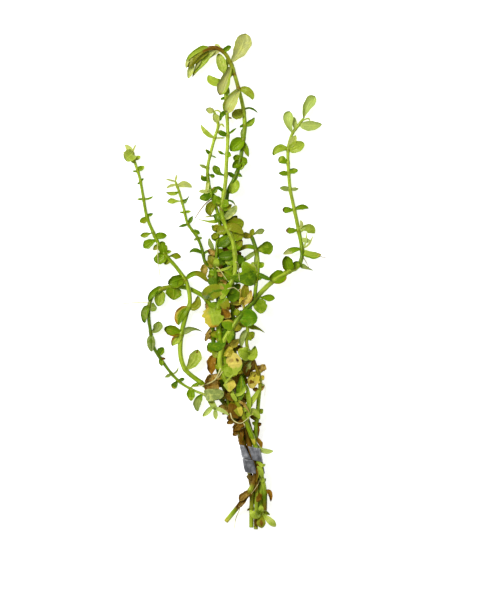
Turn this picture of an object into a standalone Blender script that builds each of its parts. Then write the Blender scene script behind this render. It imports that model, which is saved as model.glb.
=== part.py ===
"""A bunch of rotala stems, tied near the cut ends with soft metal strips and lying on its side.

The bunch lies on the plane z = 0 and is seen from above: +X is right, +Y runs from the cut ends
to the shoot tips. The object's origin is under the middle of the upper strip, on the face it rests on.
Routes and leaves are in millimetres from a second point on the tie, and move to that origin at the end.
"""

import math

import bpy
import bmesh
from mathutils import Matrix, Vector
from mathutils.bvhtree import BVHTree

MM = 0.001
GAP = 0.3                    # clearance between pieces that touch

# Tie
STRIP_WIDTH = 6.0
STRIP_THICKNESS = 0.8
BUNDLE_HALF_WIDTH = 4.25     # inside of the tie, across
BUNDLE_HALF_HEIGHT = 3.95    # inside of the tie, up
BUNDLE_CORNER = 1.8          # inside corner radius of the tie
TIE_LEAN = -0.2              # how far the bunch moves in x for each millimetre of y at the tie
CORNER_STEPS = 3
CORNER_STEP = 30             # degrees
UPPER_STRIP_Y = 2.8          # middle of each strip, and how it slopes across the bunch
UPPER_STRIP_SLOPE = -0.2
LOWER_STRIP_Y = -3.95
LOWER_STRIP_SLOPE = -0.12

# Where each strip's ends were cut, in turns round the bunch from its right side: start and end of
# the edge that faces the shoot tips, then of the edge that faces the cut ends
UPPER_STRIP_FAR_EDGE = (0.25, 1.231)
UPPER_STRIP_NEAR_EDGE = (0.224, 1.2185)
LOWER_STRIP_FAR_EDGE = (0.215, 0.93)
LOWER_STRIP_NEAR_EDGE = (0.204, 0.90)

# Places of the nine stems inside the tie
PITCH_X = 2.75
PITCH_Z = 2.5
TIE_CENTRE_X = 0.1
TIE_CENTRE_Z = BUNDLE_HALF_HEIGHT + STRIP_THICKNESS
TIE_ROUTE_Y = (-7.5, 0, 7)   # places along the bunch where each stem's route is set by the tie

# Stems and leaves
STEM_SIDES = 5
FURTHEST_RINGS = 15.0        # longest straight stretch of a stem between two rings
SHORTEST_RINGS = 1.0
RING_TURN = math.radians(18)  # turn of a stem's line after which a ring is set
LEAF_THICKNESS = 0.5
DECAYED_THICKNESS = 0.4
DECAYED = ("brown", "tan", "cream", "yellow", "rust")
FLOOR_CLEARANCE = 0.05
NARROWEST_HALF = 0.35        # smallest half width of a leaf
BASE_IN_STEM = 0.6           # a leaf's half width at its root, as a share of the stem's radius
BASE_IN_LEAF = 0.4           # and as a share of the leaf's own half width
BEND_HEIGHT = 0.8            # height of a leaf's bend, as a share of its tip's height above the root

# Colours, as linear red, green and blue
BRIGHT_GREEN = (0.24, 0.42, 0.04)
LEAF_GREEN = (0.16, 0.31, 0.03)
DARK_GREEN = (0.09, 0.20, 0.02)
OLIVE_GREEN = (0.20, 0.27, 0.04)
OLD_BROWN = (0.18, 0.13, 0.03)
SOFT_METAL = (0.16, 0.165, 0.175)
LEAF_ROUGHNESS = 0.45
METAL_ROUGHNESS = 0.5

# Leaf outlines: places along the leaf and the half width there, as shares of its length and of its
# largest half width. Large leaves have one place more than small ones.
LARGE_LEAF = 5.3
LARGE_PLACES = (0.30, 0.58, 0.85)
SMALL_PLACES = (0.40, 0.76)
FORMS = {
    "oval": ((0.74, 1.00, 0.60), (0.95, 0.80)),
    "round": ((0.86, 1.00, 0.74), (0.96, 0.92)),
    "stalk": ((0.24, 0.80, 1.00), (0.34, 1.00)),
    "fan": ((0.48, 0.88, 1.00), (0.62, 1.00)),
    "long": ((0.96, 1.00, 0.58), (1.00, 0.78)),
    "taper": ((1.00, 0.58, 0.22), (1.00, 0.36)),
}

# Order in which a leaf looks for room: changes of its tip's height, and turns about its own line
HEIGHT_TRIES = (0, 1, -1, 2, -2, 3, -3, 4.2, -4.2, 5.5, -5.5, 7, 8.5, 10)
ROLL_TRIES = (0, 22, -22, 45, -45, 68, -68)
WIDTH_TRIES = (1.0, 0.8, 0.62)


def tie_place(column, row, y):
    """Centre of one stem where the bunch passes through the tie."""
    return (TIE_CENTRE_X + TIE_LEAN * y + column * PITCH_X, y, TIE_CENTRE_Z + row * PITCH_Z)


def resting_origin():
    """The object's origin: under the middle of the upper strip, on the plane the bunch lies on."""
    x, y, _ = tie_place(0, 0, UPPER_STRIP_Y)
    return Vector((x, y, 0.0))


def through_tie(column, row):
    """The stretch of route that lies inside the tie, from below it to above it."""
    return [tie_place(column, row, y) for y in TIE_ROUTE_Y]


def leaf(base, tip, width, form, tone, rise=0.6, via=None):
    """One leaf: where it leaves the stem, where its tip is, and how far the tip lies above the stem."""
    return {"base": base, "tip": tip, "width": width, "form": form, "tone": tone,
            "rise": rise, "via": via}


def tall_arching_shoot():
    route = [(6.5, -21, 1.9), (5.9, -14, 2.0)] + through_tie(1, -1) + [
        (-2.5, 20, 2.2), (-7, 40, 3.0), (-9.3, 60, 4.0), (-9.6, 78, 5.0), (-10, 95, 5.2),
        (-11, 110, 5.6), (-12.6, 124, 5.8), (-12, 133, 5.6), (-8, 141, 4.6), (-5.8, 149, 3.8),
        (-4.6, 157.5, 3.4), (-3.6, 165, 3.0), (-4.3, 174, 2.7), (-6.6, 184, 2.6), (-9, 192.5, 3.0),
        (-10.8, 197.5, 3.6), (-14, 202.6, 4.4), (-18.5, 204.8, 4.8), (-22.5, 204, 4.4),
        (-27, 200.5, 3.2), (-31, 196, 1.9)]
    leaves = [
        leaf((-21, 204.5), (-32.8, 195), 5.6, "long", "dark", 1.0, (-28, 202.4)),
        leaf((-29.5, 198), (-32, 189.6), 3.2, "round", "pale", -0.6),
        leaf((-17.5, 204.6), (-29.8, 190.4), 4.6, "oval", "light", -2.0, (-23.5, 201)),
        leaf((-11, 197.5), (-3.2, 211.9), 6.8, "oval", "pale", 1.2, (-4.6, 202.5)),
        leaf((-14.3, 203), (-10.3, 205.4), 2.6, "round", "dark", 1.2),
        leaf((-15.6, 204), (-18.4, 206.8), 2.4, "round", "pale", -1.2),
        leaf((-10.3, 196), (-16, 181.4), 4.8, "oval", "pale", 1.8),
        leaf((-9.6, 194), (-11.9, 189), 3.6, "oval", "light", -0.8),
        leaf((-6.4, 184.3), (0.4, 178.8), 4.4, "oval", "olive", 0.8, (-0.6, 184.6)),
        leaf((-6.8, 183.8), (-12.2, 173), 5.0, "round", "pale", 0.4),
        leaf((-4.2, 172.5), (-10.1, 170.6), 5.4, "round", "olive", 0.8),
        leaf((-4.2, 174), (2.8, 172.4), 1.0, "long", "dark", 0.4, (-0.6, 176.3)),
        leaf((-3.6, 166), (1.1, 170.3), 2.9, "oval", "mid", 0.6, (0.2, 166.6)),
        leaf((-3.7, 166.6), (-6.3, 165), 1.6, "oval", "dark"),
        leaf((-3.9, 165.6), (-5.3, 159.8), 2.2, "oval", "grey"),
        leaf((-4.6, 159.8), (-10.9, 153.2), 6.0, "oval", "mid", 0.8),
        leaf((-4.4, 158.6), (-1.7, 150.4), 2.8, "oval", "mid"),
        leaf((-5.8, 149.5), (-9.6, 150.2), 3.6, "round", "mid", 0.4),
        leaf((-6, 148), (-9.8, 144.8), 3.8, "round", "mid", 1.0),
        leaf((-5.8, 148.5), (-2.2, 147.4), 4.6, "round", "mid", 0.8),
        leaf((-6, 147.5), (-5.4, 143.7), 4.0, "round", "light", 1.6),
        leaf((-7.4, 142.4), (-4.8, 140.5), 2.0, "round", "dark"),
        leaf((-9, 139.6), (-11.4, 132.2), 5.4, "oval", "light", 1.0, (-7, 134.5)),
        leaf((-8.6, 140.3), (-12.2, 142.6), 2.4, "oval", "dark"),
        leaf((-11, 108), (-5.6, 106.2), 3.4, "round", "olive", 0.6),
        leaf((-9.8, 98), (-4.2, 95.6), 3.6, "round", "olive", -0.6),
        leaf((-9.2, 62), (-14.8, 60), 4.0, "round", "brown", -0.6),
        leaf((-8.5, 56), (-3.6, 53.4), 3.6, "round", "brown", -0.6),
        leaf((-7.2, 43), (-3, 39), 3.8, "round", "dark", -0.6),
    ]
    return stem("tall_arching_shoot", route, (1.1, 0.95, 0.8), OLIVE_GREEN, leaves)


def upright_shoot():
    route = [(-13, -31.5, 2.2), (-6, -22.8, 5.2), (-2, -17.6, 6.9), (0.6, -12.2, 7.3)]
    route += through_tie(0, 1) + [
        (-4.2, 17, 7.6), (-8.3, 29, 8.0), (-12, 42, 8.2), (-15, 55, 8.2), (-17, 68, 8.3),
        (-16.6, 76, 8.8), (-13.5, 82.3, 9.3), (-10.5, 87.5, 9.5), (-8.5, 93, 9.5), (-8.5, 100, 9.5),
        (-9.6, 108.2, 9.5), (-12.6, 114.8, 9.5), (-14.4, 119.5, 9.5), (-15.2, 124.5, 9.3),
        (-14.2, 131, 9.0), (-13.2, 138, 8.3), (-12.7, 148, 7.0), (-12.1, 160, 5.8), (-12.5, 172, 4.6),
        (-13.3, 183, 3.8), (-14, 192.5, 3.2)]
    leaves = [
        leaf((-14, 192), (-16.8, 202), 5.2, "round", "light", -0.4),
        leaf((-14, 192), (-12.3, 199.6), 1.5, "long", "pale", -0.6),
        leaf((-13.8, 188), (-21.8, 191.2), 3.8, "round", "light", 0.2, (-20, 186.4)),
        leaf((-13, 180), (-15.8, 179), 1.4, "long", "dark"),
        leaf((-13, 180), (-11.8, 182.2), 1.0, "long", "dark"),
        leaf((-13.2, 179), (-14.4, 174.2), 2.2, "oval", "mid"),
        leaf((-12.6, 172.4), (-15.8, 168.2), 2.4, "round", "dark", 1.0, (-15.4, 172.8)),
        leaf((-12.4, 170), (-9.9, 169.5), 0.9, "long", "brown"),
        leaf((-12.1, 160.8), (-17.4, 163), 2.8, "oval", "dark", 0.8),
        leaf((-12.1, 161.2), (-7.6, 164.7), 1.2, "oval", "dark"),
        leaf((-12.6, 151.5), (-17, 153.4), 1.6, "stalk", "dark", 0.4, (-15, 151.4)),
        leaf((-12.6, 151.5), (-10.2, 150.8), 2.8, "round", "mid", 0.8),
        leaf((-13, 141), (-19, 146), 4.0, "stalk", "dark", 0.2, (-17.6, 141)),
        leaf((-14, 132), (-20, 131), 1.8, "long", "dark", 0.8, (-17, 138)),
        leaf((-14.6, 128.6), (-19.2, 132), 4.2, "oval", "mid", 1.2, (-18.6, 127.6)),
        leaf((-15, 127.6), (-11.4, 126.2), 4.2, "round", "mid", 1.3),
        leaf((-14.8, 127.6), (-8.3, 125.8), 1.0, "long", "dark", 0.6, (-9.8, 130)),
        leaf((-15.1, 124), (-10, 126.4), 3.2, "oval", "olive", -0.8),
        leaf((-14.2, 119), (-7.5, 125.9), 2.8, "oval", "pale", 0.8),
        leaf((-12.4, 114.4), (-4.1, 118), 7.4, "round", "olive", 0.4),
        leaf((-10.4, 110.6), (-17.4, 105.4), 6.0, "oval", "dark", -1.2),
        leaf((-9, 104.2), (-5, 109), 3.8, "round", "olive", -0.8),
        leaf((-8.6, 101.5), (-17.2, 100.8), 5.0, "oval", "dark", -1.0),
        leaf((-9.4, 91), (-14.6, 94.4), 2.0, "oval", "mid", 0.2),
        leaf((-13, 83), (-5.8, 80.6), 5.2, "round", "dark", -1.0),
        leaf((-15.5, 79.4), (-12.8, 75.8), 3.8, "round", "olive", 0.8),
        leaf((-16.8, 74.6), (-10.4, 70.4), 4.6, "oval", "rust", -0.6),
        leaf((-16.2, 62), (-10.6, 64), 4.4, "round", "dark", -0.6),
        leaf((-15.2, 57), (-22, 56.6), 4.2, "round", "mid", 0.6, (-19, 53.4)),
        leaf((-13.2, 47), (-5.3, 48.6), 8.8, "round", "cream", 1.0),
        leaf((-11.4, 40), (-13.6, 34.6), 4.4, "round", "yellow", 1.0),
        leaf((-8.6, 30), (-11, 21), 4.6, "oval", "brown", 0.8),
        leaf((-7, 25.5), (-5.8, 22), 3.0, "oval", "yellow", 0.8),
        leaf((-4.2, 17), (-7.6, 13.4), 3.4, "round", "brown", 0.6),
        leaf((-1, -15.8), (-6, -22.4), 3.2, "long", "brown", 0.8),
    ]
    return stem("upright_shoot", route, (1.1, 1.2, 0.7), BRIGHT_GREEN, leaves)


def left_inner_shoot():
    route = [(1.9, -35.3, 3.4), (2.2, -24, 4.6), (2.3, -14, 4.8)] + through_tie(0, 0) + [
        (-5.8, 20, 4.9), (-10, 37, 4.9), (-13, 52, 5.0), (-15, 66, 5.2), (-16.8, 78, 5.4),
        (-17.9, 88, 5.7), (-18, 96, 5.8), (-17.5, 104, 5.3), (-17, 111.5, 5.0), (-16, 117, 5.0),
        (-17, 122, 5.0), (-19.5, 130, 4.7), (-21.6, 137, 4.0), (-22.2, 144, 3.4), (-21, 151, 2.8),
        (-18.6, 160, 2.5), (-16.9, 166, 2.5), (-18, 170, 2.5), (-19, 173.4, 2.5)]
    leaves = [
        leaf((-19, 173.2), (-23, 174.4), 3.4, "round", "pale", 0.3),
        leaf((-17.4, 167.4), (-19.2, 172), 3.6, "round", "pale", 0.8),
        leaf((-19, 173.2), (-15.2, 171.4), 0.9, "long", "pale", 0.3, (-16.2, 174.6)),
        leaf((-17, 165.8), (-13.8, 165), 1.0, "long", "pale", 0.4, (-14.6, 168)),
        leaf((-18.6, 160), (-25.5, 166.6), 2.6, "oval", "light", 0.4, (-23.6, 161.2)),
        leaf((-18.6, 159.8), (-13.4, 160), 0.9, "long", "pale", -0.6),
        leaf((-20.8, 151.5), (-23.2, 154.2), 1.7, "oval", "dark", 0.4),
        leaf((-20.8, 151.3), (-17.6, 150), 0.8, "long", "mid", 0.4),
        leaf((-22.2, 144.8), (-26.4, 146.5), 1.7, "oval", "grey", 0.6),
        leaf((-22, 141.6), (-18.4, 140.6), 2.2, "stalk", "dark", 0.6),
        leaf((-22, 139.6), (-25.2, 141.4), 2.8, "oval", "dark", 1.0, (-24.6, 138.6)),
        leaf((-21.8, 138.4), (-22.8, 132.8), 1.9, "long", "pale", 1.2),
        leaf((-20.4, 133), (-26.5, 133.2), 2.0, "round", "pale", 1.2),
        leaf((-20, 131.4), (-26.2, 129.6), 4.2, "round", "dark", 0.6),
        leaf((-18.8, 127.6), (-20.6, 121), 4.6, "round", "olive", 1.4, (-22.8, 124.6)),
        leaf((-16.4, 118.6), (-27.2, 119.4), 1.8, "taper", "light", 0.6, (-20, 117)),
        leaf((-17, 121), (-24, 120.2), 0.9, "long", "pale", -0.4),
        leaf((-16.4, 115.6), (-19.8, 114), 3.0, "round", "olive", 0.8),
        leaf((-17, 112), (-20.2, 109.8), 3.2, "round", "olive", 0.6),
        leaf((-17.6, 103), (-21.4, 110), 2.8, "stalk", "grey", 0.6, (-20.2, 104)),
        leaf((-17.9, 95), (-17.6, 100), 3.0, "round", "light", 1.6),
        leaf((-18, 94), (-14.2, 96.2), 2.8, "round", "brown", 0.8),
        leaf((-17.8, 90), (-13, 88.4), 3.0, "round", "dark", -0.8),
        leaf((-15.6, 70), (-11.8, 73.6), 3.4, "oval", "rust", 0.4),
        leaf((-13.6, 55), (-10.6, 52.4), 3.2, "round", "yellow", 0.6),
        leaf((-9.4, 34), (-13.8, 32.4), 3.4, "round", "brown", 0.6),
        leaf((-7.6, 27), (-4.4, 30.4), 2.4, "round", "dark", 0.6),
    ]
    return stem("left_inner_shoot", route, (1.0, 0.9, 0.6), LEAF_GREEN, leaves)


def right_shoot():
    route = [(6.4, -26, 5.6), (6.4, -19, 6.2), (5.8, -13, 6.8)] + through_tie(1, 1) + [
        (-0.8, 13, 9.2), (-5.4, 24, 10.6), (-11.6, 36, 11.0), (-15.8, 46, 11.0), (-15.6, 53, 11.0),
        (-13.8, 59, 11.0), (-9.6, 65.8, 11.0), (-6, 71, 10.5), (-1.6, 75.6, 9.6), (2, 80, 8.6),
        (6.5, 84.8, 7.3), (10.4, 88.3, 6.2), (15, 91.4, 5.2), (19.4, 93.8, 4.5), (23, 96, 3.9),
        (24.9, 100.5, 3.3), (24.9, 105, 3.0), (23.6, 112, 2.6), (22, 120, 2.2), (20.3, 128, 2.0),
        (19, 134.5, 1.9), (18.3, 143, 1.9), (17.9, 151, 1.9), (18.6, 157.5, 1.9), (20.3, 162.4, 2.0),
        (23.2, 166.2, 2.1), (26, 170, 2.3)]
    leaves = [
        leaf((26, 169.6), (31, 180.3), 4.8, "oval", "pale", 0.4, (25, 175.6)),
        leaf((24.4, 167.8), (28.9, 168.2), 0.9, "long", "pale", 0.4, (28.6, 171)),
        leaf((23.4, 166.4), (34.9, 166.8), 4.4, "oval", "pale", 0.3, (29, 165)),
        leaf((20.3, 162.4), (18.7, 173.3), 4.6, "fan", "light", 0.5, (16.8, 168)),
        leaf((21.6, 164.2), (20.8, 170.4), 2.6, "oval", "pale", 0.2),
        leaf((18.3, 155.4), (21.9, 161.2), 3.6, "round", "pale", 0.8),
        leaf((18, 153.6), (26.2, 157.2), 5.8, "round", "light", 0.6),
        leaf((18, 153.8), (10.5, 151.1), 4.0, "oval", "mid", 0.4, (13.4, 156.4)),
        leaf((18, 147.4), (13.7, 149.2), 3.2, "fan", "mid", 0.4),
        leaf((18.3, 143), (23, 143.8), 2.8, "round", "mid", 0.4),
        leaf((18.3, 142.2), (13.2, 142.2), 2.6, "round", "mid", 0.4),
        leaf((19, 134.2), (23.4, 134.6), 1.8, "round", "grey", 0.4),
        leaf((19, 134.2), (13.8, 134.9), 2.6, "round", "grey", 0.4),
        leaf((21.2, 124), (28.3, 124.7), 2.7, "oval", "mid", 0.4, (25, 126.6)),
        leaf((21.2, 124), (15.1, 124), 3.2, "fan", "mid", 0.4),
        leaf((23.3, 113.8), (16.8, 113.6), 3.4, "fan", "mid", 0.4),
        leaf((23.4, 113.4), (24.3, 118.9), 1.7, "long", "pale", 0.6, (25.8, 115.4)),
        leaf((23.5, 113), (31.2, 112.2), 4.4, "fan", "light", 0.4, (28, 117.6)),
        leaf((24.8, 105.4), (30.4, 111), 1.0, "long", "pale", 0.3, (28, 104.4)),
        leaf((24.9, 104), (15.5, 101.8), 3.2, "fan", "mid", 0.6, (22, 105.6)),
        leaf((24.9, 103.6), (34.6, 101.7), 3.6, "long", "mid", 0.4, (29, 100.6)),
        leaf((23.4, 96.6), (30.6, 93.7), 2.6, "taper", "grey", 0.2),
        leaf((21.2, 94.8), (23, 98.4), 4.0, "round", "mid", 0.8),
        leaf((18.4, 93.2), (16.8, 100.3), 5.2, "round", "mid", 0.8),
        leaf((16.8, 92.4), (8.6, 90.4), 5.8, "round", "mid", 0.8),
        leaf((2.4, 80.4), (11.4, 79.8), 3.8, "stalk", "mid", 0.2),
        leaf((1.6, 79.4), (5.4, 72.4), 6.2, "round", "mid", 0.6),
        leaf((0.6, 78.4), (-6.4, 77), 2.0, "long", "yellow", 0.4, (-5, 84)),
        leaf((0.9, 78.8), (-6.4, 84.6), 3.2, "oval", "cream", -1.0),
        leaf((-6.6, 70.2), (2.8, 70.2), 8.6, "round", "mid", 0.4),
        leaf((-9, 66.8), (-15, 67.8), 5.0, "round", "yellow", 0.5),
        leaf((-9.8, 65.4), (-11.6, 57.4), 3.6, "oval", "mid", 0.2),
        leaf((-13.6, 40), (-20.4, 42), 3.0, "oval", "tan", -0.8),
        leaf((-9.4, 32), (-3.1, 37), 1.9, "long", "light", 0.2, (-4, 31)),
        leaf((-5, 23.4), (3.6, 34.8), 2.0, "long", "pale", -1.6, (-0.6, 27)),
        leaf((-3.6, 19.6), (3.4, 20.6), 3.0, "oval", "pale", -1.6, (1, 25)),
        leaf((-0.4, 11.6), (1.2, 6.9), 1.8, "round", "yellow", 0.5),
        leaf((4.4, -8), (5.1, -12.2), 2.2, "round", "light", 0.5),
        leaf((6.2, -17.8), (9.2, -20.9), 1.9, "long", "brown", -0.2, (9, -15)),
    ]
    return stem("right_shoot", route, (1.0, 1.15, 0.6), BRIGHT_GREEN, leaves)


def fork_branch():
    route = [(1.5, 82.4, 10.4), (1.8, 85, 9.4), (2.2, 89, 8.6), (2.9, 94, 8.0), (2.8, 99, 7.5),
             (2, 104, 7.0), (0.8, 108, 6.5), (-0.5, 111.3, 6.2)]
    leaves = [
        leaf((-0.4, 111), (0.6, 114.6), 2.6, "oval", "olive", 0.4),
        leaf((-0.1, 110.4), (-5.8, 111.6), 3.2, "oval", "olive", 0.2),
        leaf((-0.3, 110.8), (6.3, 113.7), 3.2, "stalk", "grey", 0.2, (3, 113.4)),
        leaf((2, 104), (10.6, 105.6), 7.0, "fan", "mid", 0.6),
        leaf((2, 104), (-7.6, 102.7), 2.4, "long", "olive", 0.6, (-2.4, 107.8)),
        leaf((2.1, 103.4), (-6.2, 97.8), 2.4, "round", "grey", -0.4, (-0.4, 101)),
        leaf((2.3, 102.6), (1.7, 96.2), 2.0, "long", "grey", 1.0),
        leaf((2.6, 92), (0.2, 96.8), 2.2, "round", "pale", 0.8),
        leaf((2.5, 91.8), (-9.2, 87.6), 8.4, "oval", "dark", -0.4, (-3, 94)),
        leaf((2.5, 92), (9.4, 88.9), 2.2, "long", "dark", 1.0),
    ]
    return stem("fork_branch", route, (0.85, 0.95, 0.8), LEAF_GREEN, leaves)


def far_left_shoot():
    route = [(-0.4, -34.5, 3.6), (-0.2, -22, 4.4), (-0.1, -14, 4.7)] + through_tie(-1, 0) + [
        (-6.6, 15, 5.0), (-10.6, 23, 5.2), (-15.4, 29.6, 5.0), (-20, 33.6, 4.6), (-26.5, 38.6, 4.0),
        (-33, 44, 3.6), (-35.7, 51.5, 3.4), (-35.3, 61.5, 3.6), (-32.9, 71.5, 4.0), (-31, 78, 4.4),
        (-32.4, 87, 4.6), (-37.5, 95, 3.8), (-44.2, 102.8, 3.0), (-49, 112, 2.4), (-52.6, 121, 2.0),
        (-54.4, 131, 1.8), (-56.2, 140.5, 1.7), (-58.7, 148.5, 1.6), (-59.6, 153.6, 1.6)]
    leaves = [
        leaf((-59.6, 153.2), (-63.3, 156.6), 2.6, "oval", "pale", 0.2),
        leaf((-59.4, 152), (-62.9, 149.4), 5.0, "round", "light", 0.4),
        leaf((-59.2, 151.4), (-59.3, 147.2), 3.0, "round", "light", 0.7),
        leaf((-58.8, 149.4), (-55.6, 150.8), 2.2, "round", "light", 0.2),
        leaf((-59.5, 153), (-58, 156.6), 1.0, "long", "pale", 0.3),
        leaf((-59.6, 152.8), (-64.6, 152.8), 0.8, "long", "pale", 0.2),
        leaf((-57.3, 144), (-53.6, 145.7), 2.7, "round", "mid", 0.4),
        leaf((-57, 143.2), (-59.6, 143.3), 1.0, "long", "mid", 0.2),
        leaf((-55.8, 138.4), (-54, 139.7), 1.2, "long", "dark", 0.2),
        leaf((-55.7, 138), (-57.2, 136.7), 0.9, "long", "dark", 0.2),
        leaf((-54.1, 129.4), (-57.4, 129.3), 1.1, "long", "mid", 0.2),
        leaf((-54.1, 129.4), (-49.4, 130.8), 1.1, "long", "mid", 0.2, (-51.4, 129.2)),
        leaf((-52.6, 121), (-49.3, 122.1), 1.8, "oval", "dark", 0.3),
        leaf((-52.3, 120), (-56.1, 117.9), 3.2, "round", "mid", 0.3),
        leaf((-49.3, 112.6), (-55.8, 111.1), 2.2, "stalk", "dark", 0.2),
        leaf((-48.6, 110.9), (-42.5, 111.2), 3.6, "round", "mid", 0.4),
        leaf((-47.6, 109), (-54.1, 106), 3.8, "fan", "mid", 0.2),
        leaf((-43.6, 102), (-44.9, 107.7), 3.2, "oval", "mid", 1.0),
        leaf((-43, 101.6), (-48.9, 99.4), 5.6, "round", "mid", 0.3),
        leaf((-42, 100.4), (-35.4, 100.2), 2.6, "stalk", "olive", 0.2),
        leaf((-34.2, 90), (-42, 87.2), 6.2, "oval", "dark", 0.8),
        leaf((-33, 88.4), (-37.4, 86.6), 3.0, "round", "mid", 1.2),
        leaf((-33.4, 88.8), (-22, 87.9), 2.8, "long", "olive", 0.6, (-27.4, 96)),
        leaf((-31.5, 75.6), (-36.6, 66.4), 5.2, "oval", "mid", 0.4, (-37, 73)),
        leaf((-31.6, 75), (-27.1, 81.2), 4.4, "round", "olive", 0.4, (-26.2, 75)),
        leaf((-35.2, 61.8), (-43.9, 64.4), 5.0, "round", "mid", 0.4, (-40, 64.4)),
        leaf((-35.2, 61.4), (-40, 56.1), 3.4, "oval", "brown", 0.3, (-38.4, 60.4)),
        leaf((-35.2, 61.6), (-24.7, 63.1), 3.2, "taper", "grey", 0.3, (-30.4, 66.6)),
        leaf((-33.4, 44.4), (-27, 54.4), 6.6, "fan", "light", 0.4, (-28.6, 46.6)),
        leaf((-25.4, 37.8), (-30.6, 35.5), 1.9, "oval", "mid", 0.2),
        leaf((-20.6, 34), (-23.6, 36), 3.2, "round", "brown", 0.8),
        leaf((-12.4, 25.6), (-16.8, 25.6), 3.6, "oval", "tan", 0.8),
        leaf((-8.6, 19.2), (-12.6, 17.4), 2.8, "round", "brown", 0.6),
        leaf((-1.2, -24.8), (-2.5, -26), 1.6, "oval", "brown", 0.4),
    ]
    return stem("far_left_shoot", route, (1.0, 1.1, 0.55), LEAF_GREEN, leaves)


def short_left_shoot():
    route = [(3.9, -27, 1.6), (3.7, -20, 1.7), (3.2, -14, 1.9)] + through_tie(0, -1) + [
        (-5, 19, 2.0), (-9.4, 34, 1.8), (-12.4, 50, 1.8), (-14, 66, 1.9), (-15.2, 80, 2.2),
        (-17, 90, 2.6), (-20.4, 94.4, 3.0), (-23.6, 98.4, 3.0), (-24.7, 103.4, 2.9), (-27.2, 110, 2.6),
        (-32, 117, 2.2), (-33.8, 123.5, 2.0), (-35.9, 131.5, 1.8), (-38.4, 138.6, 1.8)]
    leaves = [
        leaf((-38.3, 138.2), (-43.1, 139.4), 1.0, "long", "pale", 0.3),
        leaf((-38.3, 138.2), (-37.4, 141.6), 1.1, "long", "pale", 0.3),
        leaf((-37.6, 136.4), (-42.8, 134.7), 1.5, "oval", "pale", 0.2, (-40.4, 136.6)),
        leaf((-37.3, 135.4), (-30, 135.2), 3.4, "oval", "pale", 0.5, (-34, 138.4)),
        leaf((-36.6, 133), (-42.9, 132.8), 2.1, "oval", "light", 0.2, (-39.6, 131.4)),
        leaf((-35.1, 128.3), (-42.4, 128.2), 2.9, "stalk", "light", 0.2),
        leaf((-35, 128), (-31.2, 131.2), 2.2, "taper", "dark", 0.3, (-33, 128.2)),
        leaf((-33.8, 122.8), (-30.4, 123.3), 1.6, "oval", "mid", 0.3),
        leaf((-33.7, 122.6), (-36.3, 122.9), 1.1, "oval", "mid", 0.2),
        leaf((-32, 116.9), (-29.5, 120.9), 2.2, "oval", "dark", 0.4),
        leaf((-32, 116.7), (-36.6, 115.5), 1.5, "oval", "dark", 0.2),
        leaf((-29.6, 113.6), (-26, 112.2), 2.6, "round", "dark", 0.5),
        leaf((-27, 109.8), (-29, 108.8), 1.5, "round", "grey", 0.3),
        leaf((-27, 109.8), (-24.8, 110), 1.4, "round", "dark", 0.3),
        leaf((-24.6, 101.6), (-31.3, 102.6), 2.2, "oval", "dark", 0.4, (-28.2, 105.8)),
        leaf((-24.6, 101.6), (-18.4, 101.2), 1.6, "long", "dark", 0.2, (-21.4, 105.4)),
        leaf((-23.2, 97.8), (-17.8, 96.2), 4.0, "round", "rust", 0.6),
        leaf((-22.8, 97), (-22.8, 91), 2.6, "oval", "tan", 0.8, (-25, 94)),
        leaf((-19.8, 93.8), (-20.6, 87.8), 3.4, "round", "olive", 0.8),
        leaf((-15, 78), (-11.4, 77.2), 3.4, "round", "yellow", 0.4),
        leaf((-13.8, 64), (-17.6, 61), 3.4, "round", "brown", 0.4),
        leaf((-9, 32), (-5, 30), 2.6, "round", "brown", 0.4),
        leaf((4.1, -26), (-0.6, -26.4), 3.2, "round", "light", 2.6),
        leaf((4.2, -26.6), (5, -24), 2.0, "round", "light", 1.6),
        leaf((4.2, -26.6), (11.8, -33.6), 3.0, "fan", "light", 1.2, (8, -29.6)),
        leaf((4.2, -26.6), (8.8, -27), 1.7, "oval", "mid", 2.0),
        leaf((4.2, -26.6), (4.9, -34.4), 4.2, "fan", "olive", 1.8),
    ]
    return stem("short_left_shoot", route, (1.0, 0.9, 0.5), DARK_GREEN, leaves)


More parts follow.
